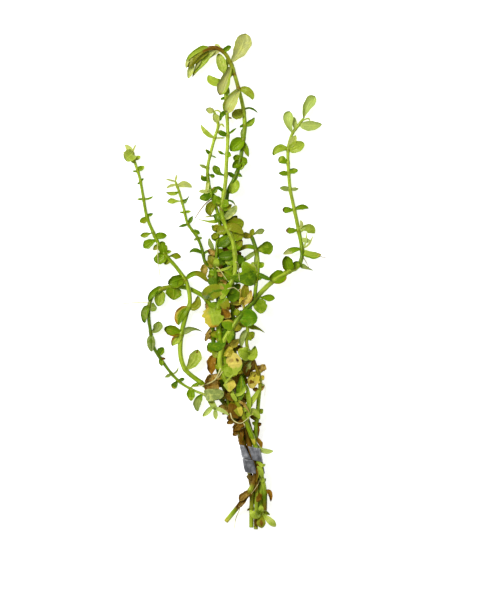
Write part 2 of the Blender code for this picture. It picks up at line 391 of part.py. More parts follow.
def drooping_shoot():
    route = [(1.2, -23, 1.8), (0.7, -14, 2.0)] + through_tie(-1, -1) + [
        (-7, 18, 2.3), (-11.6, 29, 2.4), (-16, 41, 2.7), (-18.6, 52, 3.2), (-19.6, 64, 3.4),
        (-20, 74, 2.8), (-23.4, 80, 2.1), (-29, 83.6, 1.5), (-34, 85.4, 1.4), (-40, 85.6, 1.5),
        (-46, 84, 1.7), (-50.4, 79.6, 1.8), (-51.6, 72, 1.8), (-50.8, 64, 1.7), (-49, 55.4, 1.7),
        (-45.4, 49.4, 1.7), (-40.4, 42.4, 1.7), (-35, 37.2, 1.7), (-28.8, 33.8, 1.8), (-23, 31.2, 2.0),
        (-20, 27.6, 2.2), (-18.2, 24.2, 2.3)]
    leaves = [
        leaf((-22.6, 79), (-14.2, 83.6), 6.6, "round", "olive", 4.0, (-21, 84.4)),
        leaf((-20.4, 76), (-18, 65.6), 8.8, "round", "yellow", 5.2),
        leaf((-22.4, 78.6), (-22.8, 74.2), 1.9, "long", "tan", 0.6),
        leaf((-19.6, 66), (-23.4, 58.4), 3.2, "oval", "tan", 0.8),
        leaf((-18.6, 52), (-20.4, 42.6), 4.2, "oval", "brown", 0.6, (-22.4, 47)),
        leaf((-15.6, 40), (-23.4, 33.4), 4.4, "round", "brown", 0.2),
        leaf((-12.6, 31.6), (-16.6, 29.6), 3.4, "round", "tan", 0.4),
        leaf((-38.6, 85.6), (-39.3, 78.9), 7.6, "round", "mid", 0.6),
        leaf((-45.6, 84.2), (-46.8, 75.8), 5.4, "round", "light", 0.5),
        leaf((-44, 84.8), (-51.8, 78.6), 3.4, "long", "mid", 1.2, (-49, 84)),
        leaf((-51.4, 76.4), (-53.6, 68.4), 4.4, "oval", "mid", 0.4, (-55.2, 73)),
        leaf((-51.4, 76), (-47.8, 73.2), 4.2, "round", "mid", 0.4),
        leaf((-50.7, 63), (-46.7, 68.4), 4.6, "round", "grey", 0.5, (-46.4, 63.6)),
        leaf((-50.5, 62), (-50.2, 53.2), 4.2, "oval", "grey", 0.9),
        leaf((-46.8, 51.4), (-44.2, 55.4), 3.7, "round", "dark", 0.6),
        leaf((-45.8, 50), (-43, 49.6), 1.5, "round", "brown", 0.5),
        leaf((-45.6, 49.8), (-45.1, 46), 2.5, "round", "mid", 0.6),
        leaf((-40.2, 42.2), (-43.6, 40.3), 1.7, "oval", "grey", 0.2),
        leaf((-40.2, 42.2), (-36.8, 45.6), 1.0, "long", "grey", 0.3, (-37.4, 42)),
        leaf((-37, 38.9), (-39.7, 34.8), 3.2, "fan", "dark", 0.3),
        leaf((-36.6, 38.5), (-33.6, 39.7), 2.0, "oval", "dark", 0.3),
        leaf((-30.9, 34.8), (-30.4, 28.5), 4.1, "round", "mid", 0.4),
        leaf((-24.6, 31.9), (-26.8, 23.4), 4.1, "oval", "grey", 0.4, (-29, 28)),
        leaf((-23.4, 31.4), (-14.5, 32.4), 5.6, "round", "grey", 1.4),
        leaf((-21.6, 29.6), (-18.6, 25), 3.4, "round", "pale", 1.0),
        leaf((-19.4, 26.4), (-24.7, 20.8), 2.6, "oval", "pale", 0.4),
        leaf((-18.4, 24.6), (-18, 19.2), 2.3, "oval", "pale", 0.5),
        leaf((-18.6, 25), (-11.4, 21.6), 2.0, "oval", "pale", 0.4, (-15, 25)),
    ]
    return stem("drooping_shoot", route, (1.0, 1.05, 0.5), DARK_GREEN, leaves)


def short_right_shoot():
    route = [(4.5, -29, 3.7), (4.7, -20, 4.0), (4.6, -13, 4.5)] + through_tie(1, 0) + [
        (1.8, 14, 5.0), (2.7, 22, 5.2), (3.4, 31, 5.5), (4.1, 37, 5.7), (3.2, 42.4, 5.9), (0.7, 48.6, 6.1),
        (-1.6, 53, 6.3), (-2.7, 58, 6.4), (-2.2, 64, 6.4), (-3.2, 71, 6.0), (-4.6, 78, 5.6)]
    leaves = [
        leaf((-4.4, 77.4), (-11.6, 77.4), 2.3, "oval", "yellow", 0.8),
        leaf((-4.4, 77), (-6, 84.4), 3.6, "round", "cream", 0.2),
        leaf((-2.3, 65.6), (6.4, 62.6), 2.6, "taper", "olive", 0.4, (2.6, 66)),
        leaf((-2.3, 64.4), (-5.6, 57), 2.6, "oval", "grey", 0.6, (-5.6, 61)),
        leaf((-2.6, 61.6), (-0.3, 58.8), 2.4, "round", "olive", 0.3),
        leaf((-2.6, 59.6), (-12.6, 54), 3.6, "stalk", "yellow", 0.4, (-7.4, 59.6)),
        leaf((-1.4, 52.4), (1.9, 54.8), 4.0, "round", "light", 0.6),
        leaf((-1, 51.8), (-6.6, 53), 4.4, "round", "light", 0.8),
        leaf((0.7, 48.6), (-1.8, 40.4), 3.8, "oval", "brown", 0.4, (-4, 46)),
        leaf((3.2, 42.4), (5.9, 46.2), 3.6, "fan", "rust", 0.4),
        leaf((2.8, 43.2), (0.2, 34.8), 4.4, "round", "yellow", 0.8, (-0.6, 40)),
        leaf((4, 37.4), (6.4, 36.4), 0.9, "long", "grey", 0.2),
        leaf((2.4, 19), (-1.6, 24), 2.8, "round", "brown", 0.4),
        leaf((0.6, 11), (4.7, 5.4), 2.2, "oval", "brown", 0.2, (4, 9)),
        leaf((1, 10.4), (10.4, 3.8), 2.2, "long", "pale", 0.4, (4.4, 5)),
        leaf((4.6, -12.6), (6.9, -9.8), 1.8, "oval", "light", 0.6),
        leaf((4.8, -17), (2.3, -21.6), 2.2, "long", "brown", 1.4),
    ]
    return stem("short_right_shoot", route, (1.0, 0.9, 0.6), OLIVE_GREEN, leaves)


def bare_stem():
    route = through_tie(-1, 1) + [(-6.4, 14, 7.6), (-10.2, 23.5, 7.8), (-12.8, 31, 7.8)]
    leaves = [
        leaf((-12.4, 30), (-16.6, 33.6), 3.0, "round", "brown", 0.6),
        leaf((-10.6, 24.6), (-14.8, 22), 3.0, "round", "tan", 0.6),
        leaf((-6.6, 14.4), (-9.6, 11.6), 2.6, "round", "brown", 0.6),
    ]
    return stem("bare_stem", route, (1.0, 0.95, 0.8), OLD_BROWN, leaves)


def stem(name, route, radii, colour, leaves):
    """One shoot: its stem's centre line as a smooth curve, its radii, its colour and its leaves."""
    line = smooth_line(route)
    return {"name": name, "line": line, "radii": radii, "colour": colour, "leaves": leaves}


def smooth_line(route):
    """Points along a smooth curve through the route's points, closer together where it bends."""
    points = [Vector(p) for p in route]
    points = [points[0] * 2 - points[1]] + points + [points[-1] * 2 - points[-2]]
    fine = []
    for i in range(1, len(points) - 2):
        before, start, end, after = points[i - 1:i + 3]
        steps = max(4, math.ceil((end - start).length))
        for j in range(steps):
            t = j / steps
            fine.append(0.5 * (2 * start + (end - before) * t
                               + (2 * before - 5 * start + 4 * end - after) * t ** 2
                               + (3 * start - before - 3 * end + after) * t ** 3))
    fine.append(points[-2])
    line = [fine[0]]
    last = 0
    for i in range(1, len(fine) - 1):
        turned = (fine[last + 1] - fine[last]).angle(fine[i + 1] - fine[i])
        if turned > RING_TURN or (fine[i] - line[-1]).length > FURTHEST_RINGS:
            line.append(fine[i])
            last = i
    if (fine[-1] - line[-1]).length < SHORTEST_RINGS:
        line.pop()
    return line + [fine[-1]]


def radius_at(shoot, share):
    """Stem radius at a share of its length, through its foot, middle and tip radii."""
    foot, middle, tip = shoot["radii"]
    if share < 0.5:
        return foot + (middle - foot) * share * 2
    return middle + (tip - middle) * (share - 0.5) * 2


def stem_mesh(shoot):
    """Corners and faces of a stem: rings along its line, closed at both ends."""
    line = shoot["line"]
    corners = []
    faces = []
    across = Vector((1, 0, 0))
    for i, point in enumerate(line):
        ahead = line[min(i + 1, len(line) - 1)] - line[max(i - 1, 0)]
        ahead.normalize()
        across = (across - ahead * across.dot(ahead)).normalized()
        up = ahead.cross(across)
        radius = radius_at(shoot, i / (len(line) - 1))
        for side in range(STEM_SIDES):
            angle = math.tau * side / STEM_SIDES
            corners.append(point + (across * math.cos(angle) + up * math.sin(angle)) * radius)
    for i in range(len(line) - 1):
        for side in range(STEM_SIDES):
            a = i * STEM_SIDES + side
            b = i * STEM_SIDES + (side + 1) % STEM_SIDES
            faces.append((a, b, b + STEM_SIDES, a + STEM_SIDES))
    faces.append(tuple(reversed(range(STEM_SIDES))))
    last = (len(line) - 1) * STEM_SIDES
    faces.append(tuple(range(last, last + STEM_SIDES)))
    return corners, faces


def nearest_on_stem(shoot, place):
    """The point of a stem's line nearest to a place seen from above, and its share of the length."""
    line = shoot["line"]
    best = None
    for i in range(len(line) - 1):
        start, end = line[i], line[i + 1]
        run = (end - start).to_2d()
        share = (Vector(place) - start.to_2d()).dot(run) / max(run.length_squared, 1e-9)
        share = min(max(share, 0.0), 1.0)
        point = start.lerp(end, share)
        away = (point.to_2d() - Vector(place)).length
        if best is None or away < best[0]:
            best = (away, point, (i + share) / (len(line) - 1))
    return best[1], best[2]


def leaf_mesh(shoot, item, extra_height=0.0, roll=0.0, width_share=1.0, swell=0.0):
    """Corners and faces of one leaf: flat below and ridged above, from inside the stem to its tip."""
    root, share = nearest_on_stem(shoot, item["base"])
    tip = Vector((*item["tip"], max(root.z + item["rise"] + extra_height, 0.0)))
    if item["via"]:
        bend = Vector((*item["via"], 0.0))
    else:
        bend = root.lerp(tip, 0.5)
    bend.z = root.z + (tip.z - root.z) * BEND_HEIGHT
    thickness = DECAYED_THICKNESS if item["tone"] in DECAYED else LEAF_THICKNESS
    half = item["width"] * width_share / 2
    narrow = min(radius_at(shoot, share) * BASE_IN_STEM, max(NARROWEST_HALF, half * BASE_IN_LEAF))
    large = item["width"] >= LARGE_LEAF
    places = (0.0,) + (LARGE_PLACES if large else SMALL_PLACES)
    shares = (0.0,) + FORMS[item["form"]][0 if large else 1]
    corners = []
    faces = []
    for t, form in zip(places, shares):
        point = root * (1 - t) ** 2 + bend * 2 * t * (1 - t) + tip * t ** 2
        ahead = ((bend - root) * (1 - t) + (tip - bend) * t).normalized()
        side = ahead.cross(Vector((0, 0, 1))).normalized()
        side.rotate(Matrix.Rotation(math.radians(roll) * min(1.0, t * 2), 3, ahead))
        up = side.cross(ahead)
        reach = (max(half * form, NARROWEST_HALF) if t else narrow) + swell
        corners += [point + side * reach, point + up * (thickness + swell), point - side * reach]
        if swell:
            corners.append(point - up * swell)
    ahead = (tip - bend).normalized()
    corners.append(tip + ahead * swell)
    around = 4 if swell else 3
    faces.append(tuple(range(around)))
    for i in range(len(places) - 1):
        for k in range(around):
            a = i * around + k
            b = i * around + (k + 1) % around
            faces.append((b, a, a + around, b + around))
    last = (len(places) - 1) * around
    for k in range(around):
        faces.append((last + (k + 1) % around, last + k, last + around))
    return corners, faces


def tree_of(corners, faces):
    """Search tree of a piece, with its box."""
    tree = BVHTree.FromPolygons(corners, faces)
    low = Vector(min(c[i] for c in corners) for i in range(3))
    high = Vector(max(c[i] for c in corners) for i in range(3))
    return tree, low, high


def touches(piece, others):
    """Whether a piece meets any of the others."""
    tree, low, high = piece
    for other, other_low, other_high in others:
        if all(low[i] <= other_high[i] and other_low[i] <= high[i] for i in range(3)):
            if tree.overlap(other):
                return True
    return False


def settled_leaf(shoot, item, others):
    """The leaf's mesh at the nearest height and turn that keep it clear of the other pieces."""
    for width_share in WIDTH_TRIES:
        for roll in ROLL_TRIES:
            for height in HEIGHT_TRIES:
                wide = leaf_mesh(shoot, item, height, roll, width_share, GAP)
                thin = leaf_mesh(shoot, item, height, roll, width_share)
                if min(c.z for c in thin[0]) < FLOOR_CLEARANCE:
                    continue
                if not touches(tree_of(*wide), others):
                    return thin
    raise RuntimeError(f"no room for the leaf of {shoot['name']} at {item['tip']}")


def strip_outline(depth):
    """Closed outline of the tie in the plane across the bunch, at a depth outside its inner face."""
    half_x = BUNDLE_HALF_WIDTH + depth
    half_z = BUNDLE_HALF_HEIGHT + depth
    corner = BUNDLE_CORNER + depth
    points = []
    for sign_x, sign_z, start in ((1, 1, 0), (-1, 1, 90), (-1, -1, 180), (1, -1, 270)):
        centre = Vector((sign_x * (half_x - corner), sign_z * (half_z - corner)))
        for step in range(CORNER_STEPS + 1):
            angle = math.radians(start + CORNER_STEP * step)
            points.append(centre + Vector((math.cos(angle), math.sin(angle))) * corner)
    return points


def round_outline(points, turn):
    """A point of a closed outline at a share of a turn, counted from its first point."""
    place = (turn % 1.0) * len(points)
    i = int(place) % len(points)
    return points[i].lerp(points[(i + 1) % len(points)], place - int(place))


def strip_mesh(far_edge, near_edge, middle_y, slope):
    """A strip wound round the bunch, with a station at each cut end and at each outline corner."""
    inner = strip_outline(0.0)
    outer = strip_outline(STRIP_THICKNESS)
    first = math.floor(max(far_edge[0], near_edge[0]) * len(inner)) + 1
    last = math.ceil(min(far_edge[1], near_edge[1]) * len(inner)) - 1
    stations = [(far_edge[0], near_edge[0])]
    stations += [(k / len(inner), k / len(inner)) for k in range(first, last + 1)]
    stations.append((far_edge[1], near_edge[1]))
    corners = []
    for station in stations:
        for turn, side in zip(station, (0.5, -0.5)):
            for outline in (inner, outer):
                across, high = round_outline(outline, turn)
                y = middle_y + side * STRIP_WIDTH + slope * across
                corners.append(Vector((TIE_CENTRE_X + TIE_LEAN * y + across, y, TIE_CENTRE_Z + high)))
    faces = [(0, 1, 3, 2)]
    for i in range(len(stations) - 1):
        a = i * 4
        b = a + 4
        faces += [(a, b, b + 1, a + 1), (a + 1, b + 1, b + 3, a + 3),
                  (a + 3, b + 3, b + 2, a + 2), (a + 2, b + 2, b, a)]
    end = len(corners) - 4
    faces.append((end, end + 2, end + 3, end + 1))
    return corners, faces


def upper_strip():
    """The upper strip: one full turn whose cut ends nearly meet on top, in a slanting gap."""
    return strip_mesh(UPPER_STRIP_FAR_EDGE, UPPER_STRIP_NEAR_EDGE, UPPER_STRIP_Y, UPPER_STRIP_SLOPE)


def lower_strip():
    """The lower strip: from its cut end on top, round the left side and under the bunch."""
    return strip_mesh(LOWER_STRIP_FAR_EDGE, LOWER_STRIP_NEAR_EDGE, LOWER_STRIP_Y, LOWER_STRIP_SLOPE)


def material(name, colour, roughness, metallic):
    """Principled material of one piece."""
    made = bpy.data.materials.new(name)
    made.use_nodes = True
    shader = made.node_tree.nodes["Principled BSDF"]
    shader.inputs["Base Color"].default_value = (*colour, 1.0)
    shader.inputs["Roughness"].default_value = roughness
    shader.inputs["Metallic"].default_value = metallic
    return made


def add_object(name, meshes, finish, smooth):
    """An object with the given corner and face lists, in metres, with outward faces."""
    mesh = bpy.data.meshes.new(name)
    origin = resting_origin()
    corners = []
    faces = []
    for more_corners, more_faces in meshes:
        start = len(corners)
        corners += [(c - origin) * MM for c in more_corners]
        faces += [tuple(start + i for i in face) for face in more_faces]
    mesh.from_pydata(corners, [], faces)
    shape = bmesh.new()
    shape.from_mesh(mesh)
    bmesh.ops.triangulate(shape, faces=shape.faces)
    bmesh.ops.recalc_face_normals(shape, faces=shape.faces)
    shape.to_mesh(mesh)
    shape.free()
    if smooth:
        mesh.shade_smooth()
    mesh.materials.append(finish)
    made = bpy.data.objects.new(name, mesh)
    bpy.context.scene.collection.objects.link(made)
    return made


def fuse(body, cutter):
    """Joins the guide's solids to the body, so that the two are one closed piece."""
    cutter.hide_render = True
    cutter.display_type = "WIRE"
    union = body.modifiers.new("Leaves", "BOOLEAN")
    union.operation = "UNION"
    union.solver = "EXACT"
    union.use_self = True
    union.object = cutter


def build_shoots(shoots, strips):
    """Places every stem, then every leaf where it is clear of the other shoots, and fuses them."""
    trees = {shoot["name"]: [tree_of(*stem_mesh(shoot))] for shoot in shoots}
    trees["strips"] = [tree_of(*strip) for strip in strips]
    for shoot in shoots:
        meshes = []
        for item in shoot["leaves"]:
            others = [tree for name, kept in trees.items() if name != shoot["name"] for tree in kept]
            placed = settled_leaf(shoot, item, others)
            meshes.append(placed)
            trees[shoot["name"]].append(tree_of(*placed))
        green = material(shoot["name"], shoot["colour"], LEAF_ROUGHNESS, 0.0)
        body = add_object(shoot["name"], [stem_mesh(shoot)], green, True)
        fuse(body, add_object(shoot["name"] + "_leaves", meshes, green, False))


def main():
    for old in list(bpy.data.objects):
        bpy.data.objects.remove(old)
    shoots = [drooping_shoot(), short_left_shoot(), far_left_shoot(), left_inner_shoot(),
              tall_arching_shoot(), short_right_shoot(), upright_shoot(), bare_stem(),
              fork_branch(), right_shoot()]
    strips = [upper_strip(), lower_strip()]
    build_shoots(shoots, strips)
    metal = material("soft_metal", SOFT_METAL, METAL_ROUGHNESS, 1.0)
    for name, strip in zip(("upper_lead_strip", "lower_lead_strip"), strips):
        add_object(name, [strip], metal, False)


main()
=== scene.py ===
"""Looks of a bunch of rotala: leafy stems tied near their cut ends and lying on a pale table.

Each shoot is one piece with its stem, leaves and roots. Routes and leaves are in millimetres from a
point on the tie, and move to the object's origin at the end, as the solids do.
"""

import math

import bpy
import numpy as np
from mathutils import Matrix, Vector, noise
from mathutils.bvhtree import BVHTree


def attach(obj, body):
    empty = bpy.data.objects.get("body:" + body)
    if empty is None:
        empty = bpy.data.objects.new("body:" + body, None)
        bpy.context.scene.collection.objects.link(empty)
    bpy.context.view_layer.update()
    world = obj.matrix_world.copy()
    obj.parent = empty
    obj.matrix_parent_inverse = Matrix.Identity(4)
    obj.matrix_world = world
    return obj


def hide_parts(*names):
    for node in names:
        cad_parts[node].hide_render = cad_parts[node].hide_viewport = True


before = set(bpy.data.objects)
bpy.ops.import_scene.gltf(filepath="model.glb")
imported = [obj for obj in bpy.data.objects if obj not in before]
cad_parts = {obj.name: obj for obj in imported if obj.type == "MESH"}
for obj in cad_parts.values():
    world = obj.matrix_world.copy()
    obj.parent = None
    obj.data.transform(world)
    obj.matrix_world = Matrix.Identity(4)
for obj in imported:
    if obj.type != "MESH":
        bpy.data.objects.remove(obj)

bl_info = {
    "name": "Rotala Bunch",
    "version": (1, 0, 0),
    "blender": (4, 5, 0),
    "location": "3D View > Sidebar > Rotala",
    "description": "Builds a tied bunch of leafy aquarium stems on a pale table",
    "category": "Object",
}

MM = 0.001
GAP = 0.3                    # clearance between pieces that touch
TABLE_MARGIN = 3.0           # how far the table reaches, in metres

# Tie, as the solids have it
STRIP_WIDTH = 6.0
STRIP_THICKNESS = 0.8
BUNDLE_HALF_WIDTH = 4.25
BUNDLE_HALF_HEIGHT = 3.95
BUNDLE_CORNER = 1.8
TIE_LEAN = -0.2
CORNER_STEPS = 3
CORNER_STEP = 30
UPPER_STRIP_Y = 2.8
UPPER_STRIP_SLOPE = -0.2
LOWER_STRIP_Y = -3.95
LOWER_STRIP_SLOPE = -0.12
UPPER_STRIP_FAR_EDGE = (0.25, 1.231)
UPPER_STRIP_NEAR_EDGE = (0.224, 1.2185)
LOWER_STRIP_FAR_EDGE = (0.215, 0.93)
LOWER_STRIP_NEAR_EDGE = (0.204, 0.90)
PITCH_X = 2.75
PITCH_Z = 2.5
TIE_CENTRE_X = 0.1
TIE_CENTRE_Z = BUNDLE_HALF_HEIGHT + STRIP_THICKNESS
TIE_ROUTE_Y = (-7.5, 0, 7)

# Solids of stems and leaves, repeated here so that each leaf finds the place that its solid has
STEM_SIDES = 5
FURTHEST_RINGS = 15.0
SHORTEST_RINGS = 1.0
RING_TURN = math.radians(18)
LEAF_THICKNESS = 0.5
DECAYED_THICKNESS = 0.4
DECAYED = ("brown", "tan", "cream", "yellow", "rust")
FLOOR_CLEARANCE = 0.05
NARROWEST_HALF = 0.35
BASE_IN_STEM = 0.6
BASE_IN_LEAF = 0.4
BEND_HEIGHT = 0.8
LARGE_LEAF = 5.3
LARGE_PLACES = (0.30, 0.58, 0.85)
SMALL_PLACES = (0.40, 0.76)
FORMS = {
    "oval": ((0.74, 1.00, 0.60), (0.95, 0.80)),
    "round": ((0.86, 1.00, 0.74), (0.96, 0.92)),
    "stalk": ((0.24, 0.80, 1.00), (0.34, 1.00)),
    "fan": ((0.48, 0.88, 1.00), (0.62, 1.00)),
    "long": ((0.96, 1.00, 0.58), (1.00, 0.78)),
    "taper": ((1.00, 0.58, 0.22), (1.00, 0.36)),
}
HEIGHT_TRIES = (0, 1, -1, 2, -2, 3, -3, 4.2, -4.2, 5.5, -5.5, 7, 8.5, 10)
ROLL_TRIES = (0, 22, -22, 45, -45, 68, -68)
WIDTH_TRIES = (1.0, 0.8, 0.62)

# Fine leaves: half width at nine even places from base to tip, and where the rounding of the tip starts
OUTLINES = {
    "oval": ((0.26, 0.58, 0.83, 0.96, 1.00, 0.97, 0.90, 0.82, 0.72), 0.62),
    "round": ((0.30, 0.66, 0.88, 0.98, 1.00, 1.00, 0.98, 0.95, 0.90), 0.58),
    "stalk": ((0.18, 0.20, 0.28, 0.50, 0.80, 0.98, 1.04, 1.04, 1.00), 0.66),
    "fan": ((0.20, 0.32, 0.50, 0.70, 0.87, 0.98, 1.04, 1.04, 1.00), 0.72),
    "long": ((0.50, 0.82, 0.96, 1.00, 1.00, 1.00, 0.98, 0.94, 0.88), 0.70),
    "taper": ((0.40, 0.80, 1.00, 0.94, 0.72, 0.50, 0.34, 0.24, 0.18), 0.80),
}
LEAF_STATIONS = 15
LEAF_COLUMNS = 8
STEM_STEP = 0.7
STEM_AROUND = 12
NODE_LENGTH = 0.9
NODE_SWELLING = 0.22
ROOT_AROUND = 6

# Colours, as red, green and blue on a 0 to 1 screen scale
TONES = {
    "pale": (0.76, 0.80, 0.44),
    "fresh": (0.72, 0.80, 0.42),
    "dull": (0.71, 0.73, 0.43),
    "light": (0.65, 0.74, 0.24),
    "bright": (0.33, 0.52, 0.0),
    "mid": (0.46, 0.60, 0.04),
    "dark": (0.31, 0.46, 0.01),
    "grey": (0.56, 0.63, 0.33),
    "olive": (0.54, 0.56, 0.12),
    "yellow": (0.80, 0.75, 0.26),
    "cream": (0.90, 0.83, 0.40),
    "rust": (0.66, 0.47, 0.13),
    "tan": (0.72, 0.61, 0.31),
    "brown": (0.47, 0.33, 0.06),
    "umber": (0.34, 0.24, 0.04),
    "stem": (0.50, 0.62, 0.07),
    "stem_light": (0.64, 0.73, 0.21),
    "stem_dark": (0.33, 0.46, 0.03),
    "root": (0.88, 0.85, 0.56),
    "root_brown": (0.56, 0.44, 0.24),
}
NUMBER_LAYERS = ("along", "across", "wide", "seed", "mark_one", "mark_two", "mark_three")
MARK_LAYERS = ("mark_one", "mark_two", "mark_three")
COLOUR_LAYERS = ("tint", "tint_one", "tint_two", "tint_three")
# Marks that leaves of each tone may get. The darker left half of mid greens and the lighter right half of dark greens
# are painted fold shade.
TONE_MARKS = {
    "pale": ((), (("mottle", "light", 0.40),), (("rim", "light", 0.10),), (("base", "mid", 0.25),)),
    "fresh": ((), (("mottle", "light", 0.42),), (("base", "light", 0.3),)),
    "light": ((), (("mottle", "mid", 0.38),), (("base", "mid", 0.30),), (("mottle", "pale", 0.35),),
              (("rim", "olive", 0.05),)),
    "mid": ((), (("mottle", "dark", 0.42),), (("tip", "light", 0.30),), (("mottle", "light", 0.40),),
            (("left", "dark", 0.30), ("mottle", "light", 0.30)), (("rim", "olive", 0.06),),
            (("mottle", "olive", 0.40), ("rim", "brown", 0.03))),
    "dark": ((), (("mottle", "mid", 0.42),), (("right", "mid", 0.35),), (("tip", "olive", 0.20),)),
    "grey": ((), (("mottle", "mid", 0.40),), (("base", "mid", 0.30),), (("mottle", "pale", 0.35),)),
    "olive": ((("rim", "brown", 0.05), ("mottle", "mid", 0.45)), (("mottle", "mid", 0.50),),
              (("tip", "brown", 0.08), ("base", "mid", 0.45)), (("mottle", "yellow", 0.36),)),
    "yellow": ((("rim", "rust", 0.10), ("mottle", "light", 0.42)), (("mottle", "rust", 0.36), ("base", "light", 0.4))),
    "cream": ((("rim", "tan", 0.12), ("mottle", "yellow", 0.45)),),
    "rust": ((("mottle", "brown", 0.50), ("mottle", "yellow", 0.34)),),
    "tan": ((("mottle", "rust", 0.45), ("rim", "brown", 0.12)), (("mottle", "brown", 0.40), ("base", "olive", 0.3))),
    "brown": ((("mottle", "umber", 0.50), ("mottle", "rust", 0.36)), (("mottle", "umber", 0.45), ("base", "olive", 0.3))),
}
FRESH_FORM = {"cup": 0.10, "fold": 0.16, "wave": 0.26, "waves": 2.4, "vary": 0.45, "twist": 14,
              "bow": 0.03, "curl": -0.03, "rim_curl": 0.3, "skew": 0.4, "point": 0.25, "torn": 0.14,
              "broad": 1.08}
SPOILT_FORM = {"cup": 0.10, "fold": 0.10, "wave": 0.6, "waves": 3.4, "vary": 0.7, "twist": 35,
               "bow": 0.04, "curl": -0.05, "rim_curl": 0.6, "skew": 0.4, "point": 0.35, "torn": 0.35,
               "broad": 1.12}
SHORT_LEAF = 4.5
SHORT_LEAF_STATIONS = 10
NARROW_LEAF = 1.8
NARROW_LEAF_COLUMNS = 6
KEEL = 0.10
EASE_HEIGHT = 11.4
EASE_SPAN = 0.8
STEEP_BEND = 1.6
STEM_CEILING = 10.5
STEM_TOP = 11.8
ROOT_CEILING = 12.1
FINE_STEM = 1.12
FINE_STRIP_WIDTH = 6.6
EASES = (1.0, 0.55, 0.2, 0.0)
STRIP_STATIONS = 120
STRIP_COLUMNS = 12
STRIP_WORN = 0.16
STRIP_CREASES = (0.16, 0.30, 0.33)
STRIPS = {
    "upper_lead_strip": (UPPER_STRIP_FAR_EDGE, UPPER_STRIP_NEAR_EDGE, UPPER_STRIP_Y, UPPER_STRIP_SLOPE),
    "lower_lead_strip": (LOWER_STRIP_FAR_EDGE, LOWER_STRIP_NEAR_EDGE, LOWER_STRIP_Y, LOWER_STRIP_SLOPE),
}
SHEEN_TINT = (1.0, 1.0, 0.3, 1.0)
LAMP_SIZE = 0.4
LAMP_PLACE = (-0.45, 0.40, 0.75)
VIEW_CENTRE = (-0.00554, 0.0762)


def leaf(base, tip, width, form, tone, rise=0.6, via=None, marks=(), look=None, over=None, end=None,
         bend=None, broad=1.0, shape=None, **form_changes):
    """One leaf: where it leaves the stem, where its tip is, and how far the tip lies above the stem.

    over, end, bend, broad and shape are for the fine leaf: the height that a leaf in front of the others is
    held at, its tip and middle, how much wider it is than its solid, and its outline.
    """
    return {"base": base, "tip": tip, "width": width, "form": form, "tone": tone, "rise": rise, "via": via,
            "marks": marks, "look": look or tone, "over": over, "end": end, "bend": bend, "broad": broad,
            "shape": shape or form, "form_changes": form_changes}


def tuft(start, end, pairs, size, tones, rise=0.0):
    """Small leaves in pairs along a stretch of stem, each with its own lean, size and tone."""
    made = []
    ahead = (Vector(end) - Vector(start)).normalized()
    for k in range(pairs):
        base = Vector(start).lerp(Vector(end), (k + 0.5) / pairs)
        for sign in (-1, 1):
            seed = base.x * 0.37 + base.y * 0.71 + sign * 3.3
            lean = sign * math.radians(58 + 45 * wobble(seed, 1.1))
            reach = size * (1 + 0.5 * wobble(seed, 2.3))
            tip = base + Matrix.Rotation(lean, 2) @ ahead * reach
            tone = tones[int((wobble(seed, 4.9) * 0.5 + 0.5) * 89) % len(tones)]
            form = "round" if wobble(seed, 7.7) > 0 else "oval"
            made.append(leaf(tuple(base), tuple(tip), reach * (0.72 + 0.3 * wobble(seed, 3.1)), form, tone,
                             rise + wobble(seed, 6.1)))
    return made


